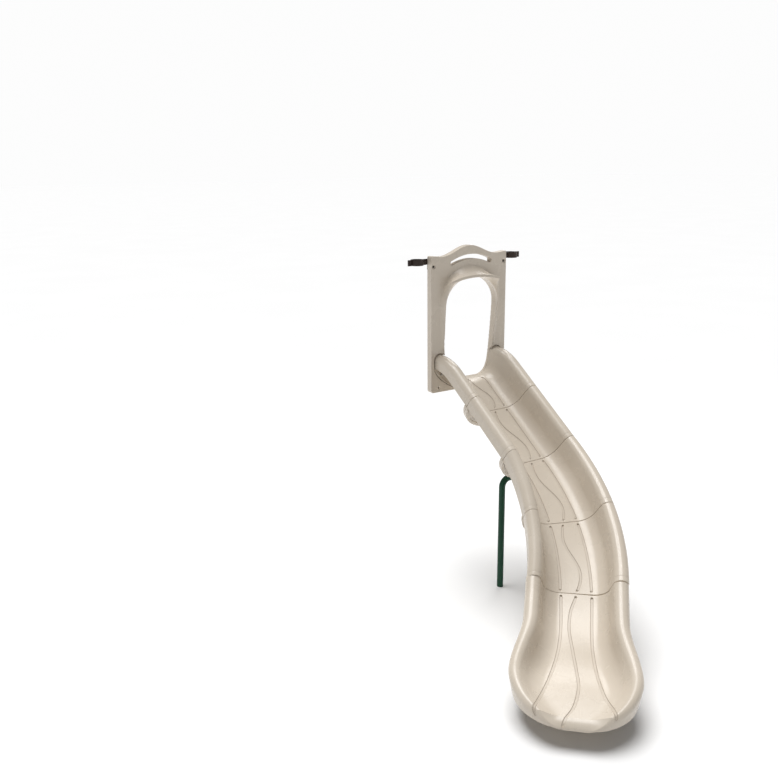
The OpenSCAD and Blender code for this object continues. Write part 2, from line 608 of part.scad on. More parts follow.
// Plate on the flange's uphill face; the two lowest joint bolts hold it.
BRACKET_W = 180;
module leg_bracket() {
    color(GREEN) difference() {
        translate(place(joint_2, -flange_t, 0, 0))
            rotate([0, 0, -joint_2[1]]) rotate([90 + joint_2[2], 0, 0])
            translate([-BRACKET_W / 2, bracket_low, -BRACKET_T])
                cube([BRACKET_W, BRACKET_TOP - bracket_low, BRACKET_T]);
        bolt_row(joint_2, -flange_t - BRACKET_T - HOLE_MARGIN, 0, hole_r);
        translate([-leg_offset, arm_place[1], arm_place[2]]) rotate([0, 90, 0])
            cylinder(h = 2 * leg_offset, d = leg_od + 0.2, $fn = 48);
    }
}

module leg_end_cap() {
    color([0.08, 0.08, 0.08]) translate([arm_end_x, arm_place[1], arm_place[2]]) rotate([0, 90, 0]) {
        translate([0, 0, -18]) cylinder(h = 18, d = leg_od - 2 * leg_wall - 0.4, $fn = 48);
        cylinder(h = 4, d = leg_od, $fn = 48);
    }
}

// ---------- Post clamps: two half straps round each post ----------
clamp_z = hood_bolt_z + 36;
EAR_GAP = 2;                        // gap between the front and rear ears
ear_in = 27;                        // from the strap to the inner ear's edge
ear_out = 36;
EAR_Y = 6;                          // thickness of the rear ears
TAB_W = 42;                         // tab that reaches down to the hood's upper bolt
TAB_H = 60;
clamp_bolt_d = 8;
clamp_hole_r = clamp_bolt_d / 2 + 0.4;
inner_ear_x = clamp_t + 17;         // clamp bolt places, from the post's face
module half_strap(front) {
    intersection() {
        difference() {
            cylinder(h = clamp_h, r = post_od / 2 + clamp_t, center = true, $fn = 96);
            cylinder(h = clamp_h + 2, r = post_od / 2, center = true, $fn = 96);
        }
        translate([-post_od, front ? -post_od - EAR_GAP : 0, -clamp_h])
            cube([2 * post_od, post_od, 2 * clamp_h]);
    }
}
// Drawn for the left post; the hood lies on its +X side.
module clamp_rear() {
    tab_x = post_spacing / 2 - hood_bolt_x;
    strap_x = post_od / 2 + 1;
    difference() {
        union() {
            half_strap(false);
            translate([strap_x, 0, -clamp_h / 2]) cube([tab_x + TAB_W / 2 - strap_x, EAR_Y, clamp_h]);
            translate([tab_x - TAB_W / 2, 0, -TAB_H]) cube([TAB_W, EAR_Y, TAB_H]);
            translate([-post_od / 2 - ear_out, 0, -clamp_h / 2]) cube([ear_out - 1, EAR_Y, clamp_h]);
        }
        clamp_bolt_holes();
        translate([tab_x, -1, hood_bolt_z - clamp_z]) rotate([-90, 0, 0])
            cylinder(h = EAR_Y + 2, r = hole_r, $fn = 32);
    }
}
module clamp_front() {
    difference() {
        union() {
            half_strap(true);
            translate([post_od / 2 + 1, -EAR_GAP - clamp_t, -clamp_h / 2])
                cube([ear_in + 4, clamp_t, clamp_h]);
            translate([-post_od / 2 - ear_out, -EAR_GAP - clamp_t, -clamp_h / 2])
                cube([ear_out - 1, clamp_t, clamp_h]);
        }
        clamp_bolt_holes();
    }
}
function clamp_bolt_xs() = [post_od / 2 + inner_ear_x, -post_od / 2 - inner_ear_x];
module clamp_bolt_holes() {
    for (x = clamp_bolt_xs()) translate([x, -30, 0]) rotate([-90, 0, 0])
        cylinder(h = 60, r = clamp_hole_r, $fn = 32);
}
module at_post(side) {
    translate([side * post_spacing / 2, 0, clamp_z]) mirror([side > 0 ? 1 : 0, 0, 0]) children();
}

// ---------- Fasteners ----------
// Button-head bolt along +Z, its head's underside at z = 0.
module button_bolt(d, length) {
    translate([0, 0, -0.001]) cylinder(h = length, d = d, $fn = 24);
    rotate_extrude($fn = 32) polygon([[0, -0.55 * d], [0.45 * d, -0.55 * d], [0.75 * d, -0.38 * d],
        [0.9 * d, -0.12 * d], [0.9 * d, 0], [0, 0]]);
}
module hex_nut(d) {
    difference() {
        cylinder(h = 0.85 * d, r = 0.98 * d, $fn = 6);
        translate([0, 0, -1]) cylinder(h = d + 2, d = d + 0.1, $fn = 24);
    }
}
module washer(d) {
    difference() {
        cylinder(h = WASHER_T, r = 1.05 * d, $fn = 32);
        translate([0, 0, -1]) cylinder(h = WASHER_T + 2, d = d + 0.6, $fn = 24);
    }
}
WASHER_T = 2;

// Stands children along the chute at each bolt place, s past the frame.
module at_flange_bolts(f, s, places = flange_bolts()) {
    for (p = places)
        translate(place(f, s, p[0], p[1])) rotate([0, 0, -f[1]]) rotate([90 + f[2], 0, 0]) children();
}

// Heads are uphill; joint 2 also clamps the leg's bracket under its two lowest heads.
grip = 2 * flange_t;
function is_low(p) = abs(p[0]) < bed_w / 2 && p[1] < 0;
module joint_bolts(k) {
    f = joint_frames[k - 1];
    color(ZINC) for (p = flange_bolts()) {
        extra = k == 2 && is_low(p) ? BRACKET_T : 0;
        translate(place(f, -flange_t - WASHER_T - extra, p[0], p[1])) rotate([0, 0, -f[1]])
            rotate([90 + f[2], 0, 0]) button_bolt(bolt_d, grip + 2 * WASHER_T + extra + bolt_d + 4);
    }
}
module joint_washers(k) {
    f = joint_frames[k - 1];
    color(ZINC) for (p = flange_bolts()) {
        extra = k == 2 && is_low(p) ? BRACKET_T : 0;
        translate(place(f, -flange_t - WASHER_T - extra, p[0], p[1])) rotate([0, 0, -f[1]])
            rotate([90 + f[2], 0, 0]) washer(bolt_d);
        translate(place(f, flange_t, p[0], p[1])) rotate([0, 0, -f[1]])
            rotate([90 + f[2], 0, 0]) washer(bolt_d);
    }
}
module joint_nuts(k) {
    color(ZINC) at_flange_bolts(joint_frames[k - 1], flange_t + WASHER_T) hex_nut(bolt_d);
}

// Entry flange to hood: heads behind the hood, nuts on the flange.
module entry_bolts() {
    color(ZINC) at_flange_bolts(start, pocket_d - hood_t, entry_flange_bolts())
        button_bolt(bolt_d, hood_t - pocket_d + flange_t + bolt_d + 4);
}
module entry_nuts() {
    color(ZINC) at_flange_bolts(start, flange_t, entry_flange_bolts()) hex_nut(bolt_d);
}

// Upper hood bolts: heads in the hood's counterbores, nuts behind the clamps.
module hood_bolts() {
    color(ZINC) for (side = [-1, 1]) translate([side * hood_bolt_x, HOOD_SINK - hood_t, hood_bolt_z])
        rotate([-90, 0, 0]) button_bolt(bolt_d, hood_t - HOOD_SINK + EAR_Y + bolt_d + 3);
}
module hood_nuts() {
    color(ZINC) for (side = [-1, 1]) translate([side * hood_bolt_x, EAR_Y, hood_bolt_z])
        rotate([-90, 0, 0]) hex_nut(bolt_d);
}
module clamp_bolts() {
    color(BROWN) for (side = [-1, 1]) at_post(side) for (x = clamp_bolt_xs())
        translate([x, -EAR_GAP - clamp_t, 0]) rotate([-90, 0, 0])
            button_bolt(clamp_bolt_d, EAR_GAP + clamp_t + EAR_Y + clamp_bolt_d + 2);
}
module clamp_nuts() {
    color(BROWN) for (side = [-1, 1]) at_post(side) for (x = clamp_bolt_xs())
        translate([x, EAR_Y, 0]) rotate([-90, 0, 0]) hex_nut(clamp_bolt_d);
}

hood_panel();
entry_section();
straight_section();
upper_curve_section();
lower_curve_section();
exit_section();
exit_foot();
exit_foot_screws();
support_leg();
leg_bracket();
leg_end_cap();
color(BROWN) at_post(-1) clamp_rear();  // left_clamp_rear
color(BROWN) at_post(-1) clamp_front();  // left_clamp_front
color(BROWN) at_post(1) clamp_rear();  // right_clamp_rear
color(BROWN) at_post(1) clamp_front();  // right_clamp_front
clamp_bolts();
clamp_nuts();
hood_bolts();
hood_nuts();
entry_bolts();
entry_nuts();
for (k = [1 : len(joint_frames)]) {
    joint_bolts(k);
    joint_washers(k);
    joint_nuts(k);
}
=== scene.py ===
"""Sectional wave slide: moulded chute sections, entry hood, exit, leg, clamps and fasteners."""

import json
import math

import bmesh
import bpy
from mathutils import Matrix, Vector


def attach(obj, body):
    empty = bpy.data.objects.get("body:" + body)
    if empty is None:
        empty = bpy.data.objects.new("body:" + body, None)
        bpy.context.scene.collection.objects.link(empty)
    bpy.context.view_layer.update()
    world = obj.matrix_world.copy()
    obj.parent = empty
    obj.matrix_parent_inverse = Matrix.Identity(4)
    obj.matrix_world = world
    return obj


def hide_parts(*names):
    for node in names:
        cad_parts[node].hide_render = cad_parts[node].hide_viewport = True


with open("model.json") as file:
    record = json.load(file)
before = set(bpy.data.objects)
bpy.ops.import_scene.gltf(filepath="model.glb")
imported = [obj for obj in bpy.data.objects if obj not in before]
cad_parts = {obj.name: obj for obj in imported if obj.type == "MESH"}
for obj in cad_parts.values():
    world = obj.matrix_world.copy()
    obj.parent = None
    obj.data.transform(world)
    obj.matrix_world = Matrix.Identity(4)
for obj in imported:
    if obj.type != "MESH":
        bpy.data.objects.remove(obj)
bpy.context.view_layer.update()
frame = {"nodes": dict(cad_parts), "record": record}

MM = 0.001

# ---------- Sizes of the slide, in millimetres, as in the part ----------
DECK_Z = 51
GROUND_Z = -1473
ENTRY_Z = 45
EXIT_BED_H = 180
BED = 103
CORNER_R = 109
LEAN = math.radians(12.3)
RIM_H = 219
RIM_R = 49
SKIRT = 60
WALL = 8
SLOPE = math.radians(34.5)
HUMP_R = 221
ENTRY_SLOPE = 270
CURVE_LEN = 552
CURVE_TURN = math.radians(21)
EXIT_BEND_R = 1280
EXIT_FLAT = 300
EXIT_TURN = math.radians(2)
EXIT_W = 780
FLANGE_T = 22
FLANGE_W = 660
FLANGE_DEPTH = 163
HALF_GAP = 1
HOOD_W = 728
HOOD_T = 55
HOOD_BOTTOM = DECK_Z - 89
POCKET_D = 28


def mix(a, b, t):
    return a + (b - a) * t


def ease(t):
    t = min(1, max(0, t))
    return t * t * (3 - 2 * t)


# ---------- Path of the bed: a frame is (place, heading, slope) ----------
def ahead(heading, slope):
    return Vector((-math.sin(heading) * math.cos(slope), -math.cos(heading) * math.cos(slope),
                   -math.sin(slope)))


def across(heading):
    return Vector((math.cos(heading), -math.sin(heading), 0))


def place(f, u, v):
    """A point u across and v above the bed at a frame."""
    side = across(f[1])
    return f[0] + side * u + ahead(f[1], f[2]).cross(side) * v


def straight_on(f, s):
    return (f[0] + ahead(f[1], f[2]) * s, f[1], f[2])


def dip(f, slope, radius):
    """A bend in height only."""
    run = radius * abs(math.sin(slope) - math.sin(f[2]))
    fall = radius * abs(math.cos(slope) - math.cos(f[2]))
    return (f[0] + ahead(f[1], 0) * run - Vector((0, 0, fall)), f[1], slope)


def swing(f, s, length, turn):
    """A bend in plan only."""
    h = f[1] + turn * s / length
    r = length * math.cos(f[2]) / turn
    shift = Vector((r * (math.cos(h) - math.cos(f[1])), -r * (math.sin(h) - math.sin(f[1])),
                    -s * math.sin(f[2])))
    return (f[0] + shift, h, f[2])


hump_len = HUMP_R * SLOPE
level_len = EXIT_BEND_R * SLOPE
entry_len = FLANGE_T + hump_len + ENTRY_SLOPE
exit_len = level_len + EXIT_FLAT
exit_z = GROUND_Z + EXIT_BED_H
fall_of_bends = (HUMP_R + EXIT_BEND_R) * (1 - math.cos(SLOPE))
straight_len = (ENTRY_Z - exit_z - fall_of_bends) / math.sin(SLOPE) - ENTRY_SLOPE - 2 * CURVE_LEN

start = (Vector((0, POCKET_D - HOOD_T, ENTRY_Z)), 0, 0)
hump_start = straight_on(start, FLANGE_T)
hump_end = dip(hump_start, SLOPE, HUMP_R)
joint_1 = straight_on(hump_end, ENTRY_SLOPE)
joint_2 = straight_on(joint_1, straight_len)
joint_3 = swing(joint_2, CURVE_LEN, CURVE_LEN, CURVE_TURN)
joint_4 = swing(joint_3, CURVE_LEN, CURVE_LEN, CURVE_TURN)
exit_start = (joint_4[0], joint_4[1] + EXIT_TURN, joint_4[2])
level_start = dip(exit_start, 0, EXIT_BEND_R)


def entry_at(s):
    if s < FLANGE_T:
        return straight_on(start, s)
    if s < FLANGE_T + hump_len:
        return dip(hump_start, SLOPE * (s - FLANGE_T) / hump_len, HUMP_R)
    return straight_on(hump_end, s - FLANGE_T - hump_len)


def straight_at(s):
    return straight_on(joint_1, s)


def upper_curve_at(s):
    return swing(joint_2, s, CURVE_LEN, CURVE_TURN)


def lower_curve_at(s):
    return swing(joint_3, s, CURVE_LEN, CURVE_TURN)


def exit_at(s):
    if s < level_len:
        return dip(exit_start, SLOPE * (1 - s / level_len), EXIT_BEND_R)
    return straight_on(level_start, s - level_len)


# ---------- Cross-section of the chute, walked from the bed's middle to the skirt's end ----------
class Outline:
    def __init__(self, bed, corner_r, lean, rim_h, rim_r, skirt, tuck=0):
        self.bed, self.corner_r, self.lean, self.rim_r = bed, corner_r, lean, rim_r
        self.skirt, self.tuck = skirt, tuck
        rise = rim_h - rim_r + rim_r * math.sin(lean) - corner_r * (1 - math.sin(lean))
        self.corner_end = bed + corner_r * (math.pi / 2 - lean)
        self.wall_end = self.corner_end + rise / math.cos(lean)
        self.roll_end = self.wall_end + rim_r * (math.pi - lean)
        self.end = self.roll_end + skirt
        self.roll_c = (bed + corner_r * math.cos(lean) + rise * math.tan(lean)
                       + rim_r * math.cos(lean), rim_h - rim_r)

    def at(self, walk):
        """(across, above, and the direction into the wall) at a walked distance, left if negative."""
        side = -1 if walk < 0 else 1
        d = abs(walk)
        if d <= self.bed:
            p, n = (d, 0), (0, -1)
        elif d < self.corner_end:
            t = (d - self.bed) / self.corner_r
            p = (self.bed + self.corner_r * math.sin(t), self.corner_r * (1 - math.cos(t)))
            n = (math.sin(t), -math.cos(t))
        elif d < self.wall_end:
            t = math.pi / 2 - self.lean
            e = d - self.corner_end
            p = (self.bed + self.corner_r * math.sin(t) + e * math.cos(t),
                 self.corner_r * (1 - math.cos(t)) + e * math.sin(t))
            n = (math.sin(t), -math.cos(t))
        elif d < self.roll_end:
            t = math.pi - self.lean - (d - self.wall_end) / self.rim_r
            p = (self.roll_c[0] + self.rim_r * math.cos(t), self.roll_c[1] + self.rim_r * math.sin(t))
            n = (-math.cos(t), -math.sin(t))
        else:
            e = d - self.roll_end
            p = (self.roll_c[0] + self.rim_r - self.tuck * e / self.skirt, self.roll_c[1] - e)
            n = (-1, 0)
        return side * p[0], p[1], side * n[0], n[1]


chute = Outline(BED, CORNER_R, LEAN, RIM_H, RIM_R, SKIRT)
chute_half_w = chute.roll_c[0] + RIM_R

# ---------- Exit: the rim flares, sinks and closes round the nose ----------
LIP = 48
LIP_DROP = 49
LIP_ROUND = 0.65
LIP_RIM_H = 4
LIP_RIM_R = 6
exit_reach = exit_len + LIP
NOSE_HALF_W = 88
NOSE_ROUND = 1.8
NOSE_RIM_H = 10
NOSE_RIM_R = 28
NOSE_LEAN = math.radians(80)
NOSE_CORNER_R = 170
BODY_DROP = 42
BODY_TUCK = 0.2
BODY_FROM = 0.1
BODY_RUN = 0.3
FLARE_FROM = 0.3
FLARE_RUN = 0.4
NOSE_FROM = 0.7
NOSE_RUN = 0.3
SINK_POWER = 2.5
SINK_ROUND = 1.1
LEAN_POWER = 1.3
LEAST_SKIRT = 4
LEAST_LIP_SKIRT = 0.8


def past_bed(w):
    """0 at the crease that ends the level bed, 1 at the lip's edge."""
    return min(1, max(0, w * exit_reach - exit_len) / LIP)


def lip_drop(w):
    past = past_bed(w)
    return LIP_DROP * mix(past, 1 - math.sqrt(1 - past * past), LIP_ROUND)


def exit_half_w(w):
    if w < NOSE_FROM:
        return mix(chute_half_w, EXIT_W / 2, ease((w - FLARE_FROM) / FLARE_RUN))
    t = min(1, (w - NOSE_FROM) / NOSE_RUN)
    return mix(NOSE_HALF_W, EXIT_W / 2, (1 - t ** NOSE_ROUND) ** (1 / NOSE_ROUND))


def exit_outline(s):
    w = s / exit_reach
    sunk = 1 - (1 - w ** SINK_POWER) ** SINK_ROUND
    h = mix(mix(RIM_H, NOSE_RIM_H, sunk), LIP_RIM_H, past_bed(w))
    r = mix(mix(RIM_R, NOSE_RIM_R, sunk), LIP_RIM_R, past_bed(w))
    lean = mix(LEAN, NOSE_LEAN, sunk ** LEAN_POWER)
    corner_r = min(mix(CORNER_R, NOSE_CORNER_R, sunk),
                   (h - r + r * math.sin(lean)) / (1 - math.sin(lean)))
    bed = exit_half_w(w) - r - Outline(0, corner_r, lean, h, r, SKIRT).roll_c[0]
    share = ease((w - BODY_FROM) / BODY_RUN)
    least = mix(LEAST_SKIRT, LEAST_LIP_SKIRT, past_bed(w))
    skirt = mix(SKIRT, max(least, h - r + BODY_DROP - lip_drop(w)), share)
    return Outline(bed, corner_r, lean, h, r, skirt, BODY_TUCK * skirt * share)


# ---------- Grooves ----------
GROOVE_HALF = 9.8
GROOVE_FLAT = 6.6
GROOVE_DEPTH = 4.2
GROOVE_FADE = 4
DOT_R = 10
DOT_DEPTH = 13
DOT_INSET = 25
SIDE_LINE = 102
WAVE = 38


def along(knots, s):
    """A smooth curve through knots of (distance, value)."""
    if s <= knots[0][0]:
        return knots[0][1]
    for i in range(len(knots) - 1):
        (s0, v0), (s1, v1) = knots[i], knots[i + 1]
        if s <= s1:
            before = knots[max(0, i - 1)]
            after = knots[min(len(knots) - 1, i + 2)]
            m0 = (v1 - before[1]) / (s1 - before[0])
            m1 = (after[1] - v0) / (after[0] - s0)
            t, gap = (s - s0) / (s1 - s0), s1 - s0
            return ((2 * t ** 3 - 3 * t ** 2 + 1) * v0 + (t ** 3 - 2 * t ** 2 + t) * gap * m0
                    + (3 * t ** 2 - 2 * t ** 3) * v1 + (t ** 3 - t ** 2) * gap * m1)
    return knots[-1][1]


def section_lines(length):
    def lines(s):
        return -SIDE_LINE, -WAVE * math.sin(2 * math.pi * s / length), SIDE_LINE
    return lines


EXIT_LEFT = [(25, -96), (290, -91), (470, -105), (690, -146), (860, -185), (1055, -232),
             (1075, -237)]
EXIT_MID = [(25, 0), (135, -31), (270, -38), (430, -15), (600, 9), (750, 23), (880, 12), (990, -12),
            (1085, -53), (1110, -64)]
EXIT_RIGHT = [(25, 104), (355, 105), (500, 115), (680, 140), (840, 172), (960, 208), (1045, 228),
              (1075, 234)]
EXIT_DOTS = ((DOT_INSET, 1070), (DOT_INSET, 1108), (DOT_INSET, 1062))
ENTRY_DOT_INSET = 60


def exit_lines(s):
    return along(EXIT_LEFT, s), along(EXIT_MID, s), along(EXIT_RIGHT, s)


# ---------- Moulded shells: a grid bent along the path and given its wall ----------
CLUSTER = (-11, -9.8, -8.8, -7.8, -6.8, -5.8, -3, 0, 3, 5.8, 6.8, 7.8, 8.8, 9.8, 11)
WALL_MARGIN = 14
BED_FILL = 7
WALL_FILL = 22
ROLL_FILL = 22
SKIRT_FILL = 5


def filled(a, b, count):
    """Even steps from just past a up to b."""
    return [mix(a, b, i / count) for i in range(1, count + 1)]


def walks(outline, lines):
    """Walked distances of the grid's columns; they follow the three grooves."""
    left, mid, right = lines

    def half(side, line):
        reach = min(abs(line), outline.wall_end - WALL_MARGIN)
        first = side * mid + CLUSTER[-1]
        bed = [mix(first, reach + CLUSTER[0], i / (BED_FILL + 1)) for i in range(1, BED_FILL + 1)]
        wall = filled(reach + CLUSTER[-1], outline.wall_end, WALL_FILL)
        roll = filled(outline.wall_end, outline.roll_end, ROLL_FILL)
        skirt = filled(outline.roll_end, outline.end, SKIRT_FILL)
        return [side * d for d in bed + [reach + c for c in CLUSTER] + wall + roll + skirt]

    return half(-1, left)[::-1] + [mid + c for c in CLUSTER] + half(1, right)


COLUMNS = 2 * (BED_FILL + len(CLUSTER) + WALL_FILL + ROLL_FILL + SKIRT_FILL) + len(CLUSTER)


FLANGE_SHARPNESS = 1.8
FLANGE_EVENNESS = 0.8
ENTRY_FLANGE_SHARPNESS = 1.6
ENTRY_FLANGE_RAISE = 3
ENTRY_FLANGE_DIP = 12
flange_top = chute.roll_c[1] - SKIRT
entry_flange_low = HOOD_BOTTOM - ENTRY_Z + ENTRY_FLANGE_RAISE
entry_flange_deep = flange_top + ENTRY_Z - HOOD_BOTTOM + ENTRY_FLANGE_DIP


def flange_curve(a, deep, sharpness, grow=0):
    """The rounded U of a flange: angle 0 is under the bed, a quarter turn is at the skirt."""
    u = (FLANGE_W / 2 + grow) * math.sin(a) ** (2 / sharpness)
    return u, flange_top - (deep + grow) * max(0, math.cos(a)) ** (2 / sharpness)


def joint_edge(share):
    """Edge of a joint's flange: 0 is under the bed, 1 or -1 is at the skirt."""
    angle = math.pi / 2 * abs(share) ** FLANGE_EVENNESS
    u, v = flange_curve(angle, flange_top + FLANGE_DEPTH, FLANGE_SHARPNESS)
    return math.copysign(u, share), v


def entry_edge(share):
    """Edge of the flange in the hood's pocket, cut level above the hood's bottom."""
    angle = math.pi / 2 * abs(share) ** FLANGE_EVENNESS
    u, v = flange_curve(angle, entry_flange_deep, ENTRY_FLANGE_SHARPNESS)
    return math.copysign(u, share), max(v, entry_flange_low)


# Rows over a flange: (distance on the upper face, distance on the under face, share of the flange)
FLANGE_ROWS = ((0, 0, 0.985), (0.5, 1.2, 0.996), (1.3, 3, 1), (2.6, 11, 1), (4.5, 18, 1),
               (6.5, 20.6, 0.996), (8.5, 22, 0.985), (10, 22, 0.84), (11.5, 21.2, 0.81),
               (13, 14, 0.77), (14.5, 13, 0.5), (16, 13, 0.14), (17.5, 15.5, 0.05),
               (19.5, 21, 0.01), (22, 26, 0))
DOT_ROW_STEP = 1.8
DOT_ROWS = tuple(FLANGE_ROWS[-1][0] + DOT_ROW_STEP * i for i in range(1, 10))
EDGE_R = 3.4
BEAD_AT = 34
BEAD_HALF = 4
BEAD_DEPTH = 0.9
BEAD_FADE = 50
LEAST_WALL = 2
SHARP_MOULDED = 38
SHARP_TURNED = 35
SHARP_PLATE = 30


def rows_of(length, step, both=True):
    """(upper distance, under distance, flange share) down a section."""
    head = [(a + HALF_GAP, b + HALF_GAP, f) for a, b, f in FLANGE_ROWS] + [(d, d, 0) for d in DOT_ROWS]
    tail = [(length - a, length - b, f) for a, b, f in reversed(head)] if both else []
    first = head[-1][0]
    last = tail[0][0] if both else length
    count = max(2, round((last - first) / step))
    middle = [(mix(first, last, i / count),) * 2 + (0,) for i in range(1, count if both else count + 1)]
    return head + middle + tail


def groove_depth(d, s, first, last):
    """Depth of a groove d across from its line, with its rounded end dots."""
    run = ease((s - first) / GROOVE_FADE + 0.5) * ease((last - s) / GROOVE_FADE + 0.5)
    depth = GROOVE_DEPTH * run * (1 - ease((abs(d) - GROOVE_FLAT) / (GROOVE_HALF - GROOVE_FLAT)))
    for end in (first, last):
        rho = math.hypot(d, s - end) / DOT_R
        if rho < 1:
            depth = max(depth, DOT_DEPTH * (1 - rho * rho) ** 2)
    return depth


def moulded_shell(name, frame_at, outline_at, lines_at, rows, length, dots, drop_at=None,
                  seams=(True, True), head_edge=joint_edge, crease=None):
    """A chute section: upper face with grooves, under face with its flanges, closed all round."""
    bm = bmesh.new()
    count = len(rows)
    bmesh.ops.create_grid(bm, x_segments=COLUMNS - 1, y_segments=count - 1, size=1)
    row_of = bm.verts.layers.int.new("row")
    column_of = bm.verts.layers.int.new("column")
    under = bm.verts.layers.int.new("under")
    for v in bm.verts:
        v[column_of] = round((v.co.x + 1) / 2 * (COLUMNS - 1))
        v[row_of] = round((v.co.y + 1) / 2 * (count - 1))
    shell = bmesh.ops.extrude_face_region(bm, geom=bm.faces[:], use_keep_orig=True)
    for item in shell["geom"]:
        if isinstance(item, bmesh.types.BMVert):
            item[under] = 1
    run_uv = bm.loops.layers.uv.new("run")
    groove = bm.verts.layers.float.new("groove")
    spots = {}
    for j, (s_top, s_under, flange) in enumerate(rows):
        for below, s in ((0, s_top), (1, s_under)):
            outline = outline_at(s)
            lines = lines_at(s)
            f = frame_at(s)
            if drop_at:
                f = (f[0] - Vector((0, 0, drop_at(s))), f[1], f[2])
            edge = 0
            for end, closed in ((s - HALF_GAP, seams[0]), (length - HALF_GAP - s, seams[1])):
                if closed and end < EDGE_R:
                    e = EDGE_R - max(0, end)
                    edge = EDGE_R - math.sqrt(EDGE_R ** 2 - e * e)
            for i, walk in enumerate(walks(outline, lines)):
                u, v, nu, nv = outline.at(walk)
                deep = 0
                if not below:
                    for line, (first, last) in zip(lines, dots):
                        deep = max(deep, groove_depth(walk - line, s, first, last))
                    if seams[1]:
                        rim = ease((abs(walk) - outline.wall_end + BEAD_FADE / 2) / BEAD_FADE)
                        off = min(1, abs(s - (length - BEAD_AT)) / BEAD_HALF)
                        bead = 0.5 + 0.5 * math.cos(math.pi * off)
                        deep = max(deep, BEAD_DEPTH * rim * bead)
                    into = deep + edge
                else:
                    into = max(LEAST_WALL, WALL - (edge if not flange else 0))
                u, v = u + nu * into, v + nv * into
                if below and flange:
                    edge_at = head_edge if s < length / 2 else joint_edge
                    fu, fv = edge_at(2 * i / (COLUMNS - 1) - 1)
                    u, v = mix(u, fu, flange), mix(v, fv, flange)
                spots[j, i, below] = (place(f, u, v) * MM, deep / GROOVE_DEPTH, walk * MM, s * MM)
    for v in bm.verts:
        spot = spots[v[row_of], v[column_of], v[under]]
        v.co = spot[0]
        v[groove] = spot[1]
    for face in bm.faces:
        for loop in face.loops:
            spot = spots[loop.vert[row_of], loop.vert[column_of], loop.vert[under]]
            loop[run_uv].uv = (spot[2], spot[3])
        face.smooth = True
    crease_rows = {j for j, row in enumerate(rows) if row[0] == crease}
    for bend in bm.edges:
        if all(v[row_of] in crease_rows and not v[under] for v in bend.verts):
            bend.smooth = False
    bmesh.ops.recalc_face_normals(bm, faces=bm.faces)
    if bm.calc_volume(signed=True) < 0:
        bmesh.ops.reverse_faces(bm, faces=bm.faces)
    return finished(bm, name, SHARP_MOULDED)


def finished(bm, name, sharp_degrees):
    """Turns a bmesh into a linked object with sharp edges past an angle."""
    for edge in bm.edges:
        if len(edge.link_faces) == 2 and edge.calc_face_angle(0) > math.radians(sharp_degrees):
            edge.smooth = False
    mesh = bpy.data.meshes.new(name)
    bm.to_mesh(mesh)
    bm.free()
    piece = bpy.data.objects.new(name, mesh)
    bpy.context.scene.collection.objects.link(piece)
    return piece


ROW_STEP = 8
NOSE_ROWS = 44
NOSE_SHARE = 0.16
NOSE_CROWDING = 2.2
NOSE_TRIM = 0.0005
ROW_CLEAR = 3
CREASE_CLEAR = 2


def exit_row_list():
    """Even rows down the exit, crowded towards the nose, with one on the crease."""
    crowded = []
    for i in range(NOSE_ROWS + 1):
        s = exit_reach * (1 - NOSE_SHARE * (1 - i / NOSE_ROWS) ** NOSE_CROWDING - NOSE_TRIM)
        crowded.append((s, s, 0))
    rows = rows_of((1 - NOSE_TRIM) * exit_reach, ROW_STEP, both=False)
    rows = [row for row in rows if row[0] < crowded[0][0] - ROW_CLEAR] + crowded
    rows = [row for row in rows if abs(row[0] - exit_len) > CREASE_CLEAR]
    return sorted(rows + [(exit_len, exit_len, 0)])


sections = {}
for node, at, length in (("entry_section", entry_at, entry_len),
                         ("straight_section", straight_at, straight_len),
                         ("upper_curve_section", upper_curve_at, CURVE_LEN),
                         ("lower_curve_section", lower_curve_at, CURVE_LEN)):
    is_entry = node == "entry_section"
    first_dot = FLANGE_T + ENTRY_DOT_INSET if is_entry else DOT_INSET
    sections[node] = moulded_shell(
        node + "_shell", at, lambda s: chute, section_lines(length), rows_of(length, ROW_STEP), length,
        ((first_dot, length - DOT_INSET),) * 3, head_edge=entry_edge if is_entry else joint_edge)
sections["exit_section"] = moulded_shell(
    "exit_section_shell", exit_at, exit_outline, exit_lines, exit_row_list(), exit_reach, EXIT_DOTS,
    drop_at=lambda s: lip_drop(s / exit_reach), seams=(True, False), crease=exit_len)


# ---------- Exit foot: a turned pedestal ----------
def turned(name, profile, centre, steps=96):
    """Spins a half profile of (radius, height) round the upright through centre."""
    bm = bmesh.new()
    verts = [bm.verts.new((r * MM, 0, z * MM)) for r, z in profile]
    edges = [bm.edges.new(pair) for pair in zip(verts, verts[1:])]
    bmesh.ops.spin(bm, geom=verts + edges, cent=(0, 0, 0), axis=(0, 0, 1), angle=2 * math.pi,
                   steps=steps, use_merge=True)
    bmesh.ops.remove_doubles(bm, verts=bm.verts, dist=1e-6)
    bmesh.ops.recalc_face_normals(bm, faces=bm.faces)
    bmesh.ops.translate(bm, verts=bm.verts, vec=centre)
    for face in bm.faces:
        face.smooth = True
    return finished(bm, name, SHARP_TURNED)


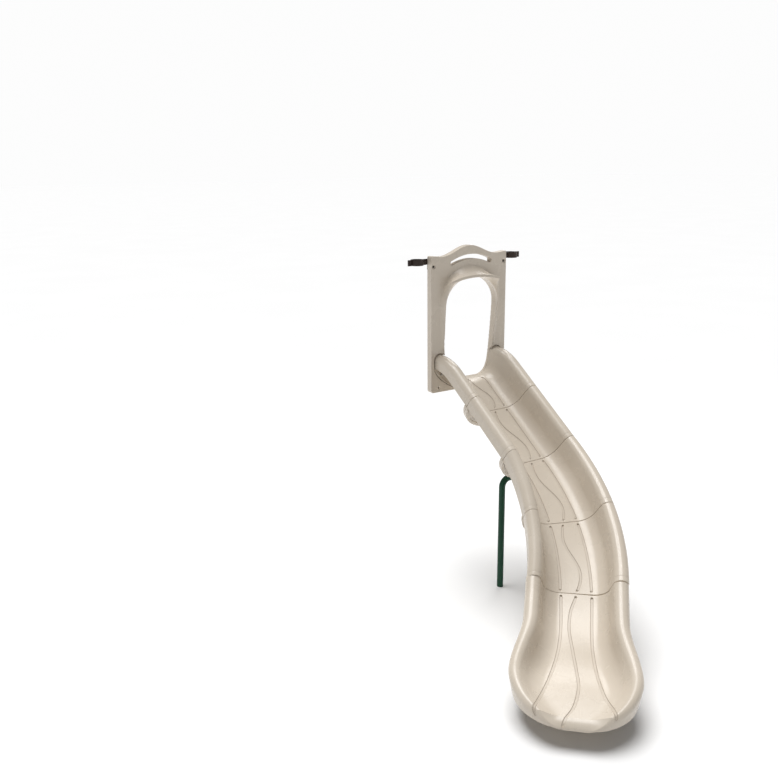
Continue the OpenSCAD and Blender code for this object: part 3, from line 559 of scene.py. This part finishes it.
FOOT_BACK = 240
FOOT_TOP_R = 132
FOOT_BASE_R = 92
FOOT_EDGE_R = 5
FOOT_NECK_Z = 74
FOOT_COLLAR_Z = 110
FOOT_STEPS = 12
foot_c = exit_at(exit_len - FOOT_BACK)[0]
foot_top = EXIT_BED_H - WALL - 1
foot_profile = [(0, 0), (FOOT_BASE_R - FOOT_EDGE_R, 0)]
foot_profile += [(FOOT_BASE_R - FOOT_EDGE_R + FOOT_EDGE_R * math.sin(a),
                  FOOT_EDGE_R - FOOT_EDGE_R * math.cos(a)) for a in (0.5, 1.0, 1.45)]
foot_profile += [(mix(FOOT_BASE_R, FOOT_TOP_R, ease(i / FOOT_STEPS)),
                  mix(FOOT_EDGE_R + 1, FOOT_NECK_Z, i / FOOT_STEPS)) for i in range(1, FOOT_STEPS + 1)]
foot_profile += [(FOOT_TOP_R, FOOT_COLLAR_Z), (FOOT_TOP_R, foot_top - 3), (FOOT_TOP_R - 3, foot_top),
                 (FOOT_TOP_R - WALL, foot_top), (FOOT_TOP_R - WALL, FOOT_NECK_Z)]
foot_profile += [(FOOT_BASE_R - 6, 10), (0, WALL)]
foot = turned("exit_foot_shell", foot_profile, Vector((foot_c.x, foot_c.y, GROUND_Z)) * MM)

# ---------- Hood: outline, doorway, grip slot, pocket and visor ----------
HOOD_TOP = DECK_Z + 979
HOOD_DIP = 8
HOOD_CREST = 65
HOOD_CORNER = 22
HOOD_DIP_AT = 0.72
DOOR_HALF = 264
DOOR_ARCH = 222
spring_z = DECK_Z + 811 - DOOR_ARCH
JAMB_BEND = 0.6
HOOD_BOLT = (HOOD_W / 2 - 24, DECK_Z + 900)
COUNTERBORE_R = 17
COUNTERBORE_DEPTH = 8
DECK_BOLT_X = 294
DECK_HOLE_R = 7.5
OVERCUT = 2
BORE_OVERCUT = 3


def hood_top(x):
    dip_x = HOOD_DIP_AT * HOOD_W / 2
    if abs(x) < dip_x:
        swell = (1 + math.cos(math.pi * abs(x) / dip_x)) / 2
        return HOOD_TOP - HOOD_DIP + (HOOD_CREST + HOOD_DIP) * swell
    t = (abs(x) - dip_x) / (HOOD_W / 2 - dip_x)
    return HOOD_TOP - HOOD_DIP * (1 + math.cos(math.pi * t)) / 2


def prism(name, points, front, back):
    """A closed plate from a flat ring of (x, z), between y = -front and y = -back."""
    bm = bmesh.new()
    verts = [bm.verts.new((x * MM, -back * MM, z * MM)) for x, z in points]
    face = bm.faces.new(verts)
    grown = bmesh.ops.extrude_face_region(bm, geom=[face], use_keep_orig=True)
    moved = [v for v in grown["geom"] if isinstance(v, bmesh.types.BMVert)]
    bmesh.ops.translate(bm, verts=moved, vec=(0, (back - front) * MM, 0))
    bmesh.ops.recalc_face_normals(bm, faces=bm.faces)
    if bm.calc_volume(signed=True) < 0:
        bmesh.ops.reverse_faces(bm, faces=bm.faces)
    return finished(bm, name, SHARP_PLATE)


def arc(cx, cz, r, a0, a1, n):
    angles = [mix(a0, a1, i / n) for i in range(n + 1)]
    return [(cx + r * math.cos(a), cz + r * math.sin(a)) for a in angles]


half_hood = HOOD_W / 2
HOOD_STEPS = 120
outline = [(x, hood_top(x)) for x in [half_hood - i * HOOD_W / HOOD_STEPS for i in range(HOOD_STEPS + 1)]]
outline[0] = (half_hood, HOOD_TOP - 6)
outline[-1] = (-half_hood, HOOD_TOP - 6)
corner_z = HOOD_BOTTOM + HOOD_CORNER
outline += arc(HOOD_CORNER - half_hood, corner_z, HOOD_CORNER, math.pi, 1.5 * math.pi, 10)
outline += arc(half_hood - HOOD_CORNER, corner_z, HOOD_CORNER, 1.5 * math.pi, 2 * math.pi, 10)

wall_foot = chute.at(chute.corner_end)
foot_z = ENTRY_Z + wall_foot[1]


def jamb_x(z):
    t = max(0, z - foot_z) / (spring_z - foot_z)
    return mix(wall_foot[0], DOOR_HALF, t ** JAMB_BEND)


half_door = [(chute.at(d)[0], ENTRY_Z + chute.at(d)[1])
             for d in [mix(0, chute.corner_end, i / 24) for i in range(24)]]
half_door += [(jamb_x(z), z) for z in [mix(foot_z, spring_z, (i / 24) ** 1.3) for i in range(24)]]
half_door += [(DOOR_HALF * math.cos(a), spring_z + DOOR_ARCH * math.sin(a))
              for a in [math.pi / 2 * i / 28 for i in range(29)]]
doorway = half_door + [(-x, z) for x, z in half_door[-2:0:-1]]

SLOT_HALF = 180
SLOT_RISE = 41
SLOT_H = 35
SLOT_MID = (16, DECK_Z + 916)


def slot_z(x):
    return SLOT_MID[1] + SLOT_RISE * (1 - (x / SLOT_HALF) ** 2)


upper = [(x, slot_z(x) + SLOT_H / 2) for x in [SLOT_HALF * (1 - i / 20) for i in range(41)]]
lower = [(x, slot_z(x) - SLOT_H / 2) for x in [SLOT_HALF * (i / 20 - 1) for i in range(41)]]
slot_end = slot_z(SLOT_HALF)
slot_ring = upper + arc(-SLOT_HALF, slot_end, SLOT_H / 2, 0.5 * math.pi, 1.5 * math.pi, 12)[1:-1]
slot_ring += lower + arc(SLOT_HALF, slot_end, SLOT_H / 2, -0.5 * math.pi, 0.5 * math.pi, 12)[1:-1]
slot_ring = [(x + SLOT_MID[0], z) for x, z in slot_ring]

FLANGE_GAP = 4
POCKET_RIM_GAP = 9
POCKET_ARC = 0.98
pocket_r = RIM_R + POCKET_RIM_GAP
rim_c = (chute.roll_c[0], ENTRY_Z + chute.roll_c[1])
pocket_under = [flange_curve(math.pi / 2 * i / 40, entry_flange_deep, ENTRY_FLANGE_SHARPNESS, FLANGE_GAP)
                for i in range(1, 41)]
half_pocket = [(u, ENTRY_Z + v) for u, v in pocket_under]
half_pocket += arc(rim_c[0], rim_c[1], pocket_r, 0, math.pi * POCKET_ARC, 24)
pocket = half_pocket + [(-x, z) for x, z in reversed(half_pocket)]

# Lip and visor: each ring runs from inside the doorway over the lip's edges to the face.
LIP_IN = 11
LIP_H = 44
BRIM_T = 20
LIP_T = 14
LIP_FOOT = 36
VISOR_REACH = 92
lip_rise = DOOR_ARCH - 4
BRIM_HALF = 232
BRIM_RISE = 32
BRIM_Z = DECK_Z + 790
VISOR_ROOT = (276, 300)
RING_STEPS = 7
RING_ROOT = 12
CREST_DROP = 2
LIP_COVE = 14
LIP_COVE_ROUND = 1.3
VISOR_COVE_ROUND = 1.15
BRIM_FROM = math.radians(30)
REACH_FULL = math.radians(38)
ROOT_FLARE = 15
ROOT_SHIFT = 3


def lip_ring(edge, tip, under, crest, root, rise, height, fall):
    """Points (x, y, z) across the lip; the outer face falls to the hood in a cove."""
    points = [(edge[0], -HOOD_T + RING_ROOT, edge[1]), (edge[0], -HOOD_T, edge[1])]
    for t in (0.35, 0.7, 0.9):
        points.append((mix(edge[0], tip[0], ease(t)), -HOOD_T - rise * t, mix(edge[1], tip[1], ease(t))))
    points.append((tip[0], -HOOD_T - rise, tip[1]))
    points.append((under[0], -HOOD_T - height, under[1]))
    points.append((crest[0], -HOOD_T - height + CREST_DROP, crest[1]))
    for i in range(1, RING_STEPS + 1):
        t = i / RING_STEPS
        out = (height - CREST_DROP) * (1 - t) ** fall
        points.append((mix(crest[0], root[0], t), -HOOD_T - out, mix(crest[1], root[1], t)))
    points.append((root[0], -HOOD_T + RING_ROOT, root[1]))
    return points


def jamb_ring(t):
    z = mix(ENTRY_Z + RIM_H + LIP_FOOT, spring_z, t)
    x = jamb_x(z)
    height = mix(4, LIP_H, t * t * (1.6 - 0.6 * t))
    inward = LIP_IN * ease(t / 0.45)
    tip, crest = x - inward, x - inward + LIP_T
    return lip_ring((x, z), (tip, z), ((tip + crest) / 2, z), (crest, z), (x + LIP_T + LIP_COVE, z),
                    height - 3, height, LIP_COVE_ROUND)


def arch_ring(a):
    c, s = math.cos(a), math.sin(a)
    tip = ((DOOR_HALF - LIP_IN) * c, spring_z + lip_rise * s)
    share = ease(a / BRIM_FROM)
    up = max(0, a - BRIM_FROM) / (math.pi / 2 - BRIM_FROM)
    brim = (BRIM_HALF * min(1, c / math.cos(BRIM_FROM)),
            BRIM_Z + BRIM_RISE * math.sin(math.pi / 2 * up))
    crest = (mix(tip[0] + LIP_T * c, brim[0], share), mix(tip[1] + LIP_T * s, brim[1], share))
    root = (VISOR_ROOT[0] * c + ROOT_FLARE * (1 - share) + ROOT_SHIFT, spring_z + VISOR_ROOT[1] * s)
    height = mix(LIP_H, VISOR_REACH, ease(a / REACH_FULL))
    under = (mix((tip[0] + crest[0]) / 2, brim[0], share),
             mix((tip[1] + crest[1]) / 2, brim[1] - BRIM_T, share))
    edge = (DOOR_HALF * c, spring_z + DOOR_ARCH * s)
    return lip_ring(edge, tip, under, crest, root, LIP_H - 3, height,
                    mix(LIP_COVE_ROUND, VISOR_COVE_ROUND, share))


half_rings = [jamb_ring(i / 14) for i in range(14)]
half_rings += [arch_ring(math.radians(a)) for a in [90 * i / 40 for i in range(41)]]
rings = half_rings + [[(-x, y, z) for x, y, z in ring] for ring in half_rings[-2::-1]]


def lofted(name, rings):
    """A closed skin through rings of equal count, bridged one after another and capped."""
    bm = bmesh.new()
    loops = []
    for ring in rings:
        verts = [bm.verts.new((x * MM, y * MM, z * MM)) for x, y, z in ring]
        loops.append([bm.edges.new((a, b)) for a, b in zip(verts, verts[1:] + verts[:1])])
    for one, two in zip(loops, loops[1:]):
        bmesh.ops.bridge_loops(bm, edges=one + two)
    bmesh.ops.holes_fill(bm, edges=loops[0] + loops[-1], sides=0)
    bmesh.ops.recalc_face_normals(bm, faces=bm.faces)
    return finished(bm, name, SHARP_PLATE)


def carve(piece, other, kind):
    """Joins or cuts another solid, then removes it."""
    step = piece.modifiers.new("carve", "BOOLEAN")
    step.operation = kind
    step.solver = "EXACT"
    step.object = other
    apply_all(piece)
    bpy.data.objects.remove(other, do_unlink=True)


def apply_all(piece):
    """Makes the modifiers' result the piece's own mesh."""
    bpy.context.view_layer.update()
    shown = piece.evaluated_get(bpy.context.evaluated_depsgraph_get())
    result = bpy.data.meshes.new_from_object(shown)
    piece.modifiers.clear()
    old = piece.data
    piece.data = result
    bpy.data.meshes.remove(old)


def bore(x, z, radius, front, back):
    ring = arc(x, z, radius, 0, 2 * math.pi, 40)[:-1]
    return prism("bore", ring, front, back)


def make_hood():
    hood = prism("hood_panel_shell", outline, 0, HOOD_T)
    carve(hood, prism("doorway", doorway, -OVERCUT, HOOD_T + OVERCUT), "DIFFERENCE")
    carve(hood, lofted("visor", rings), "UNION")
    carve(hood, prism("slot", slot_ring, -OVERCUT, HOOD_T + OVERCUT), "DIFFERENCE")
    carve(hood, prism("pocket", pocket, HOOD_T - POCKET_D, HOOD_T + OVERCUT), "DIFFERENCE")
    for side in (-1, 1):
        recess = bore(side * HOOD_BOLT[0], HOOD_BOLT[1], COUNTERBORE_R, HOOD_T - COUNTERBORE_DEPTH,
                      HOOD_T + BORE_OVERCUT)
        carve(hood, recess, "DIFFERENCE")
        hole = bore(side * DECK_BOLT_X, 0, DECK_HOLE_R, -OVERCUT, HOOD_T + BORE_OVERCUT)
        carve(hood, hole, "DIFFERENCE")
    return hood


VOXEL = 3.0
SOFTEN = 4
KEPT_FACES = 0.40
EVEN_WEIGHT = 90
hood = make_hood()
melt = hood.modifiers.new("melt", "REMESH")
melt.mode = "VOXEL"
melt.voxel_size = VOXEL * MM
melt.use_smooth_shade = True
soft = hood.modifiers.new("soft", "SMOOTH")
soft.factor = 0.5
soft.iterations = SOFTEN
apply_all(hood)
thin = hood.modifiers.new("thin", "DECIMATE")
thin.ratio = KEPT_FACES
apply_all(hood)
for face in hood.data.polygons:
    face.use_smooth = True
even = hood.modifiers.new("even", "WEIGHTED_NORMAL")
even.weight = EVEN_WEIGHT
apply_all(hood)


# ---------- Shader groups ----------
def group_of(name, inputs, outputs):
    group = bpy.data.node_groups.new(name, "ShaderNodeTree")
    for label, kind, value in inputs:
        socket = group.interface.new_socket(label, in_out="INPUT", socket_type=kind)
        if value is not None:
            socket.default_value = value
    for label, kind in outputs:
        group.interface.new_socket(label, in_out="OUTPUT", socket_type=kind)
    return group, group.nodes.new("NodeGroupInput"), group.nodes.new("NodeGroupOutput")


def noise(tree, vector, scale, detail, rough=0.5):
    node = tree.nodes.new("ShaderNodeTexNoise")
    node.inputs["Scale"].default_value = scale
    node.inputs["Detail"].default_value = detail
    node.inputs["Roughness"].default_value = rough
    tree.links.new(vector, node.inputs["Vector"])
    return node.outputs["Fac"]


def spread(tree, value, low, high, to_low, to_high):
    node = tree.nodes.new("ShaderNodeMapRange")
    node.interpolation_type = "SMOOTHSTEP"
    for label, number in (("From Min", low), ("From Max", high), ("To Min", to_low), ("To Max", to_high)):
        node.inputs[label].default_value = number
    tree.links.new(value, node.inputs["Value"])
    return node.outputs["Result"]


def blend(tree, share, one, two):
    """Mixes two colours; each is a socket or a plain colour."""
    node = tree.nodes.new("ShaderNodeMix")
    node.data_type = "RGBA"
    plug(tree, share, node.inputs[0])
    plug(tree, one, node.inputs[6])
    plug(tree, two, node.inputs[7])
    return node.outputs[2]


def reckon(tree, kind, one, two):
    node = tree.nodes.new("ShaderNodeMath")
    node.operation = kind
    plug(tree, one, node.inputs[0])
    plug(tree, two, node.inputs[1])
    return node.outputs[0]


def plug(tree, value, socket):
    if isinstance(value, bpy.types.NodeSocket):
        tree.links.new(value, socket)
    else:
        socket.default_value = value


def make_weathering():
    """Soft colour drift, dust in noise patches, fine speckle and a height for the skin's grain."""
    group, given, put = group_of(
        "weathering",
        (("Vector", "NodeSocketVector", None), ("Colour", "NodeSocketColor", (0.8, 0.8, 0.8, 1)),
         ("Faded", "NodeSocketColor", (0.9, 0.9, 0.9, 1)), ("Dust", "NodeSocketColor", (0.5, 0.45, 0.38, 1)),
         ("Dust Amount", "NodeSocketFloat", 0.1), ("Grain Scale", "NodeSocketFloat", 600)),
        (("Colour", "NodeSocketColor"), ("Rough Shift", "NodeSocketFloat"), ("Height", "NodeSocketFloat")))
    place_in = given.outputs["Vector"]
    drift = spread(group, noise(group, place_in, 2.3, 3), 0.35, 0.68, 0, 1)
    cloud = spread(group, noise(group, place_in, 9, 5, 0.6), 0.42, 0.72, 0, 1)
    speck = spread(group, noise(group, place_in, 260, 2), 0.62, 0.74, 0, 1)
    base = blend(group, drift, given.outputs["Colour"], given.outputs["Faded"])
    amount = reckon(group, "MULTIPLY", cloud, given.outputs["Dust Amount"])
    dusty = blend(group, amount, base, given.outputs["Dust"])
    specks = reckon(group, "MULTIPLY", speck, given.outputs["Dust Amount"])
    final = blend(group, reckon(group, "MULTIPLY", specks, 0.6), dusty, given.outputs["Dust"])
    group.links.new(final, put.inputs["Colour"])
    shift = reckon(group, "ADD", reckon(group, "MULTIPLY", cloud, 0.05),
                   reckon(group, "MULTIPLY", drift, 0.04))
    group.links.new(shift, put.inputs["Rough Shift"])
    fine = group.nodes.new("ShaderNodeTexNoise")
    fine.inputs["Detail"].default_value = 2
    group.links.new(place_in, fine.inputs["Vector"])
    group.links.new(given.outputs["Grain Scale"], fine.inputs["Scale"])
    wavy = noise(group, place_in, 55, 2)
    height = reckon(group, "ADD", reckon(group, "MULTIPLY", fine.outputs["Fac"], 0.35),
                    reckon(group, "MULTIPLY", wavy, 0.65))
    group.links.new(height, put.inputs["Height"])
    return group


def make_scuffs():
    """Long fine scratches that run down the slide, on the run UV map."""
    group, given, put = group_of(
        "scuffs", (("Run", "NodeSocketVector", None), ("Amount", "NodeSocketFloat", 0.5)),
        (("Mask", "NodeSocketFloat"), ("Height", "NodeSocketFloat")))
    stretch = group.nodes.new("ShaderNodeMapping")
    stretch.inputs["Scale"].default_value = (260, 3.2, 1)
    group.links.new(given.outputs["Run"], stretch.inputs["Vector"])
    lines = spread(group, noise(group, stretch.outputs["Vector"], 1, 3, 0.6), 0.58, 0.80, 0, 1)
    patch = group.nodes.new("ShaderNodeMapping")
    patch.inputs["Scale"].default_value = (9, 2.5, 1)
    group.links.new(given.outputs["Run"], patch.inputs["Vector"])
    patches = spread(group, noise(group, patch.outputs["Vector"], 1, 3), 0.40, 0.65, 0, 1)
    split = group.nodes.new("ShaderNodeSeparateXYZ")
    group.links.new(given.outputs["Run"], split.inputs["Vector"])
    near = spread(group, reckon(group, "ABSOLUTE", split.outputs["X"], 0), 0.12, 0.21, 1, 0)
    mask = reckon(group, "MULTIPLY", reckon(group, "MULTIPLY", lines, patches), near)
    worn = reckon(group, "MULTIPLY", mask, given.outputs["Amount"])
    group.links.new(worn, put.inputs["Mask"])
    group.links.new(reckon(group, "MULTIPLY", worn, -1), put.inputs["Height"])
    return group


weathering = make_weathering()
scuffs = make_scuffs()


def new_material(name, colour, faded, dust, dust_amount, grain, rough, metallic=0.0, coat=0.0, bump=0.02,
                 gloss=0.5):
    """A Principled finish fed by the weathering group; returns the material and its parts."""
    made = bpy.data.materials.new(name)
    made.use_nodes = True
    tree = made.node_tree
    shader = tree.nodes["Principled BSDF"]
    shader.inputs["Metallic"].default_value = metallic
    shader.inputs["Coat Weight"].default_value = coat
    shader.inputs["Coat Roughness"].default_value = 0.15
    shader.inputs["Specular IOR Level"].default_value = gloss
    where = tree.nodes.new("ShaderNodeTexCoord").outputs["Object"]
    weather = tree.nodes.new("ShaderNodeGroup")
    weather.node_tree = weathering
    tree.links.new(where, weather.inputs["Vector"])
    weather.inputs["Colour"].default_value = (*colour, 1)
    weather.inputs["Faded"].default_value = (*faded, 1)
    weather.inputs["Dust"].default_value = (*dust, 1)
    weather.inputs["Dust Amount"].default_value = dust_amount
    weather.inputs["Grain Scale"].default_value = grain
    tree.links.new(weather.outputs["Colour"], shader.inputs["Base Color"])
    tree.links.new(reckon(tree, "ADD", weather.outputs["Rough Shift"], rough), shader.inputs["Roughness"])
    lift = tree.nodes.new("ShaderNodeBump")
    lift.inputs["Strength"].default_value = 0.5
    lift.inputs["Distance"].default_value = bump * MM
    tree.links.new(weather.outputs["Height"], lift.inputs["Height"])
    tree.links.new(lift.outputs["Normal"], shader.inputs["Normal"])
    return made, tree, shader, weather, lift


BEIGE = (0.62, 0.548, 0.456)
BEIGE_FADED = (0.655, 0.583, 0.490)
DIRT = (0.30, 0.235, 0.17)

MOULDED = {"colour": BEIGE, "faded": BEIGE_FADED, "dust": DIRT, "dust_amount": 0.05, "grain": 420,
           "rough": 0.24, "bump": 0.18}
moulded, *_ = new_material("moulded_beige", **MOULDED)


def make_bed_finish():
    """The chute's finish: the moulded beige with painted shade along the grooves' edges and in their end
    dots, and scuffs down the bed.
    """
    made, tree, shader, weather, lift = new_material("moulded_beige_bed", **MOULDED)
    run = tree.nodes.new("ShaderNodeUVMap")
    run.uv_map = "run"
    rub = tree.nodes.new("ShaderNodeGroup")
    rub.node_tree = scuffs
    rub.inputs["Amount"].default_value = 0.5
    tree.links.new(run.outputs["UV"], rub.inputs["Run"])
    # Painted shade: the grooves' edges and their deep end dots are darkened in the colour, standing in for
    # the shadow that falls in them.
    groove_attr = tree.nodes.new("ShaderNodeAttribute")
    groove_attr.attribute_name = "groove"
    edge_in = spread(tree, groove_attr.outputs["Fac"], 0.04, 0.35, 0, 0.72)
    edge_out = spread(tree, groove_attr.outputs["Fac"], 0.60, 1.0, 1, 0.20)
    dot = spread(tree, groove_attr.outputs["Fac"], 1.1, 2.2, 0, 0.7)
    held = reckon(tree, "MAXIMUM", reckon(tree, "MULTIPLY", edge_in, edge_out), dot)
    scuffed = blend(tree, reckon(tree, "MULTIPLY", rub.outputs["Mask"], 0.35), weather.outputs["Colour"],
                    (0.80, 0.75, 0.67, 1))
    # The brown blended in here is painted shade in the grooves and dots.
    tree.links.new(blend(tree, held, scuffed, (0.27, 0.215, 0.16, 1)), shader.inputs["Base Color"])
    rough = reckon(tree, "ADD", weather.outputs["Rough Shift"], MOULDED["rough"])
    rough = reckon(tree, "ADD", rough, reckon(tree, "MULTIPLY", rub.outputs["Mask"], 0.25))
    rough = reckon(tree, "ADD", rough, reckon(tree, "MULTIPLY", held, 0.5))
    tree.links.new(rough, shader.inputs["Roughness"])
    height = reckon(tree, "ADD", weather.outputs["Height"],
                    reckon(tree, "MULTIPLY", rub.outputs["Height"], 0.35))
    tree.links.new(height, lift.inputs["Height"])
    return made


bed_finish = make_bed_finish()
green, *_ = new_material("green_powder_coat", (0.005, 0.052, 0.025), (0.008, 0.066, 0.034),
                         (0.06, 0.07, 0.05), 0.10, 900, 0.36, coat=0.06, bump=0.25, gloss=0.22)
brown, *_ = new_material("brown_powder_coat", (0.030, 0.019, 0.015), (0.042, 0.028, 0.022),
                         (0.09, 0.075, 0.06), 0.12, 900, 0.40, coat=0.05, bump=0.25, gloss=0.22)
zinc, *_ = new_material("zinc_plate", (0.52, 0.52, 0.50), (0.60, 0.60, 0.575), (0.25, 0.22, 0.19),
                        0.30, 700, 0.30, metallic=1.0, bump=0.12)
# A darker finish for the hood's bolts in place of zinc: partly their own dark colour and partly painted shade
# in their counterbores.
dark_bolt, *_ = new_material("dark_bolt", (0.050, 0.044, 0.040), (0.075, 0.067, 0.060),
                             (0.14, 0.12, 0.10), 0.20, 700, 0.42, metallic=0.7, bump=0.15)
black, *_ = new_material("black_plug", (0.018, 0.018, 0.018), (0.030, 0.030, 0.030), (0.09, 0.08, 0.07), 0.12,
                         500, 0.45, bump=0.3)

# ---------- Pieces, their bodies and finishes ----------
for node, piece in list(sections.items()) + [("exit_foot", foot), ("hood_panel", hood)]:
    piece.data.materials.clear()
    piece.data.materials.append(bed_finish if node in sections else moulded)
    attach(piece, "root")
    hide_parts(node)

FINISH = {"zinc_fastener": zinc, "clamp_brown": brown, "leg_green": green, "cap_black": black,
          "chute_plastic": moulded}
slot_of = {part["node"]: part["material_slot"] for part in frame["record"]["subparts"]}
for node, obj in frame["nodes"].items():
    # The hood's bolts take the dark finish, which is partly their own colour and partly painted shade.
    finish = dark_bolt if node == "hood_bolts" else FINISH[slot_of[node]]
    if obj.material_slots:
        for held in obj.material_slots:
            held.material = finish
    else:
        obj.data.materials.append(finish)

# ---------- Floor, lights and camera ----------
def make_floor():
    bm = bmesh.new()
    bmesh.ops.create_grid(bm, x_segments=1, y_segments=1, size=150)
    bmesh.ops.translate(bm, verts=bm.verts, vec=(0, 0, GROUND_Z * MM - 0.0005))
    floor = finished(bm, "studio_floor", SHARP_PLATE)
    made = bpy.data.materials.new("pale_floor")
    made.use_nodes = True
    tree = made.node_tree
    shader = tree.nodes["Principled BSDF"]
    shader.inputs["Roughness"].default_value = 0.75
    shader.inputs["Specular IOR Level"].default_value = 0.2
    where = tree.nodes.new("ShaderNodeTexCoord").outputs["Object"]
    cloud = spread(tree, noise(tree, where, 0.6, 2), 0.3, 0.7, 0, 1)
    pale = blend(tree, cloud, (0.895, 0.895, 0.895, 1), (0.905, 0.905, 0.905, 1))
    tree.links.new(pale, shader.inputs["Base Color"])
    floor.data.materials.append(made)
    return floor


make_floor()


def area_light(name, spot, aim, size, power, colour=(1, 1, 1)):
    lamp = bpy.data.lights.new(name, "AREA")
    lamp.shape = "DISK"
    lamp.size = size
    lamp.energy = power
    lamp.color = colour
    holder = bpy.data.objects.new(name, lamp)
    holder.location = spot
    holder.rotation_euler = (Vector(aim) - Vector(spot)).to_track_quat("-Z", "Y").to_euler()
    bpy.context.scene.collection.objects.link(holder)


def sun_light(name, direction, strength, angle):
    lamp = bpy.data.lights.new(name, "SUN")
    lamp.energy = strength
    lamp.angle = math.radians(angle)
    holder = bpy.data.objects.new(name, lamp)
    holder.rotation_euler = Vector(direction).to_track_quat("-Z", "Y").to_euler()
    bpy.context.scene.collection.objects.link(holder)


sun_light("overhead_key", (0.06, -0.20, -1.0), 2.9, 42)
area_light("back_softbox", (2.6, 1.8, 3.4), (-0.4, -1.2, -0.6), 2.2, 60, (1.0, 0.99, 0.98))

world = bpy.data.worlds.new("studio")
world.use_nodes = True
sky = world.node_tree
fill = sky.nodes["Background"]
fill.inputs["Color"].default_value = (1, 1, 1, 1)
fill.inputs["Strength"].default_value = 0.24
paper = sky.nodes.new("ShaderNodeBackground")
paper.inputs["Color"].default_value = (1, 1, 1, 1)
paper.inputs["Strength"].default_value = 0.98
seen = sky.nodes.new("ShaderNodeMixShader")
sky.links.new(sky.nodes.new("ShaderNodeLightPath").outputs["Is Camera Ray"], seen.inputs[0])
sky.links.new(fill.outputs[0], seen.inputs[1])
sky.links.new(paper.outputs[0], seen.inputs[2])
sky.links.new(seen.outputs[0], sky.nodes["World Output"].inputs["Surface"])
bpy.context.scene.world = world
bpy.context.scene.view_settings.view_transform = "Standard"


def make_camera():
    yaw, pitch, roll = (math.radians(a) for a in (32.1676, 14.7457, -0.7491))
    look = Vector((math.sin(yaw) * math.cos(pitch), math.cos(yaw) * math.cos(pitch), -math.sin(pitch)))
    level = Vector((math.cos(yaw), -math.sin(yaw), 0))
    up = level.cross(look)
    right = level * math.cos(roll) + up * math.sin(roll)
    top = up * math.cos(roll) - level * math.sin(roll)
    lens = bpy.data.cameras.new("view")
    lens.sensor_width = 36
    lens.lens = 39.853
    lens.clip_end = 200
    holder = bpy.data.objects.new("view", lens)
    turn = Matrix((right, top, -look)).transposed().to_4x4()
    holder.matrix_world = Matrix.Translation((-4.11165, -5.39139, 1.71943)) @ turn
    bpy.context.scene.collection.objects.link(holder)
    bpy.context.scene.camera = holder


make_camera()
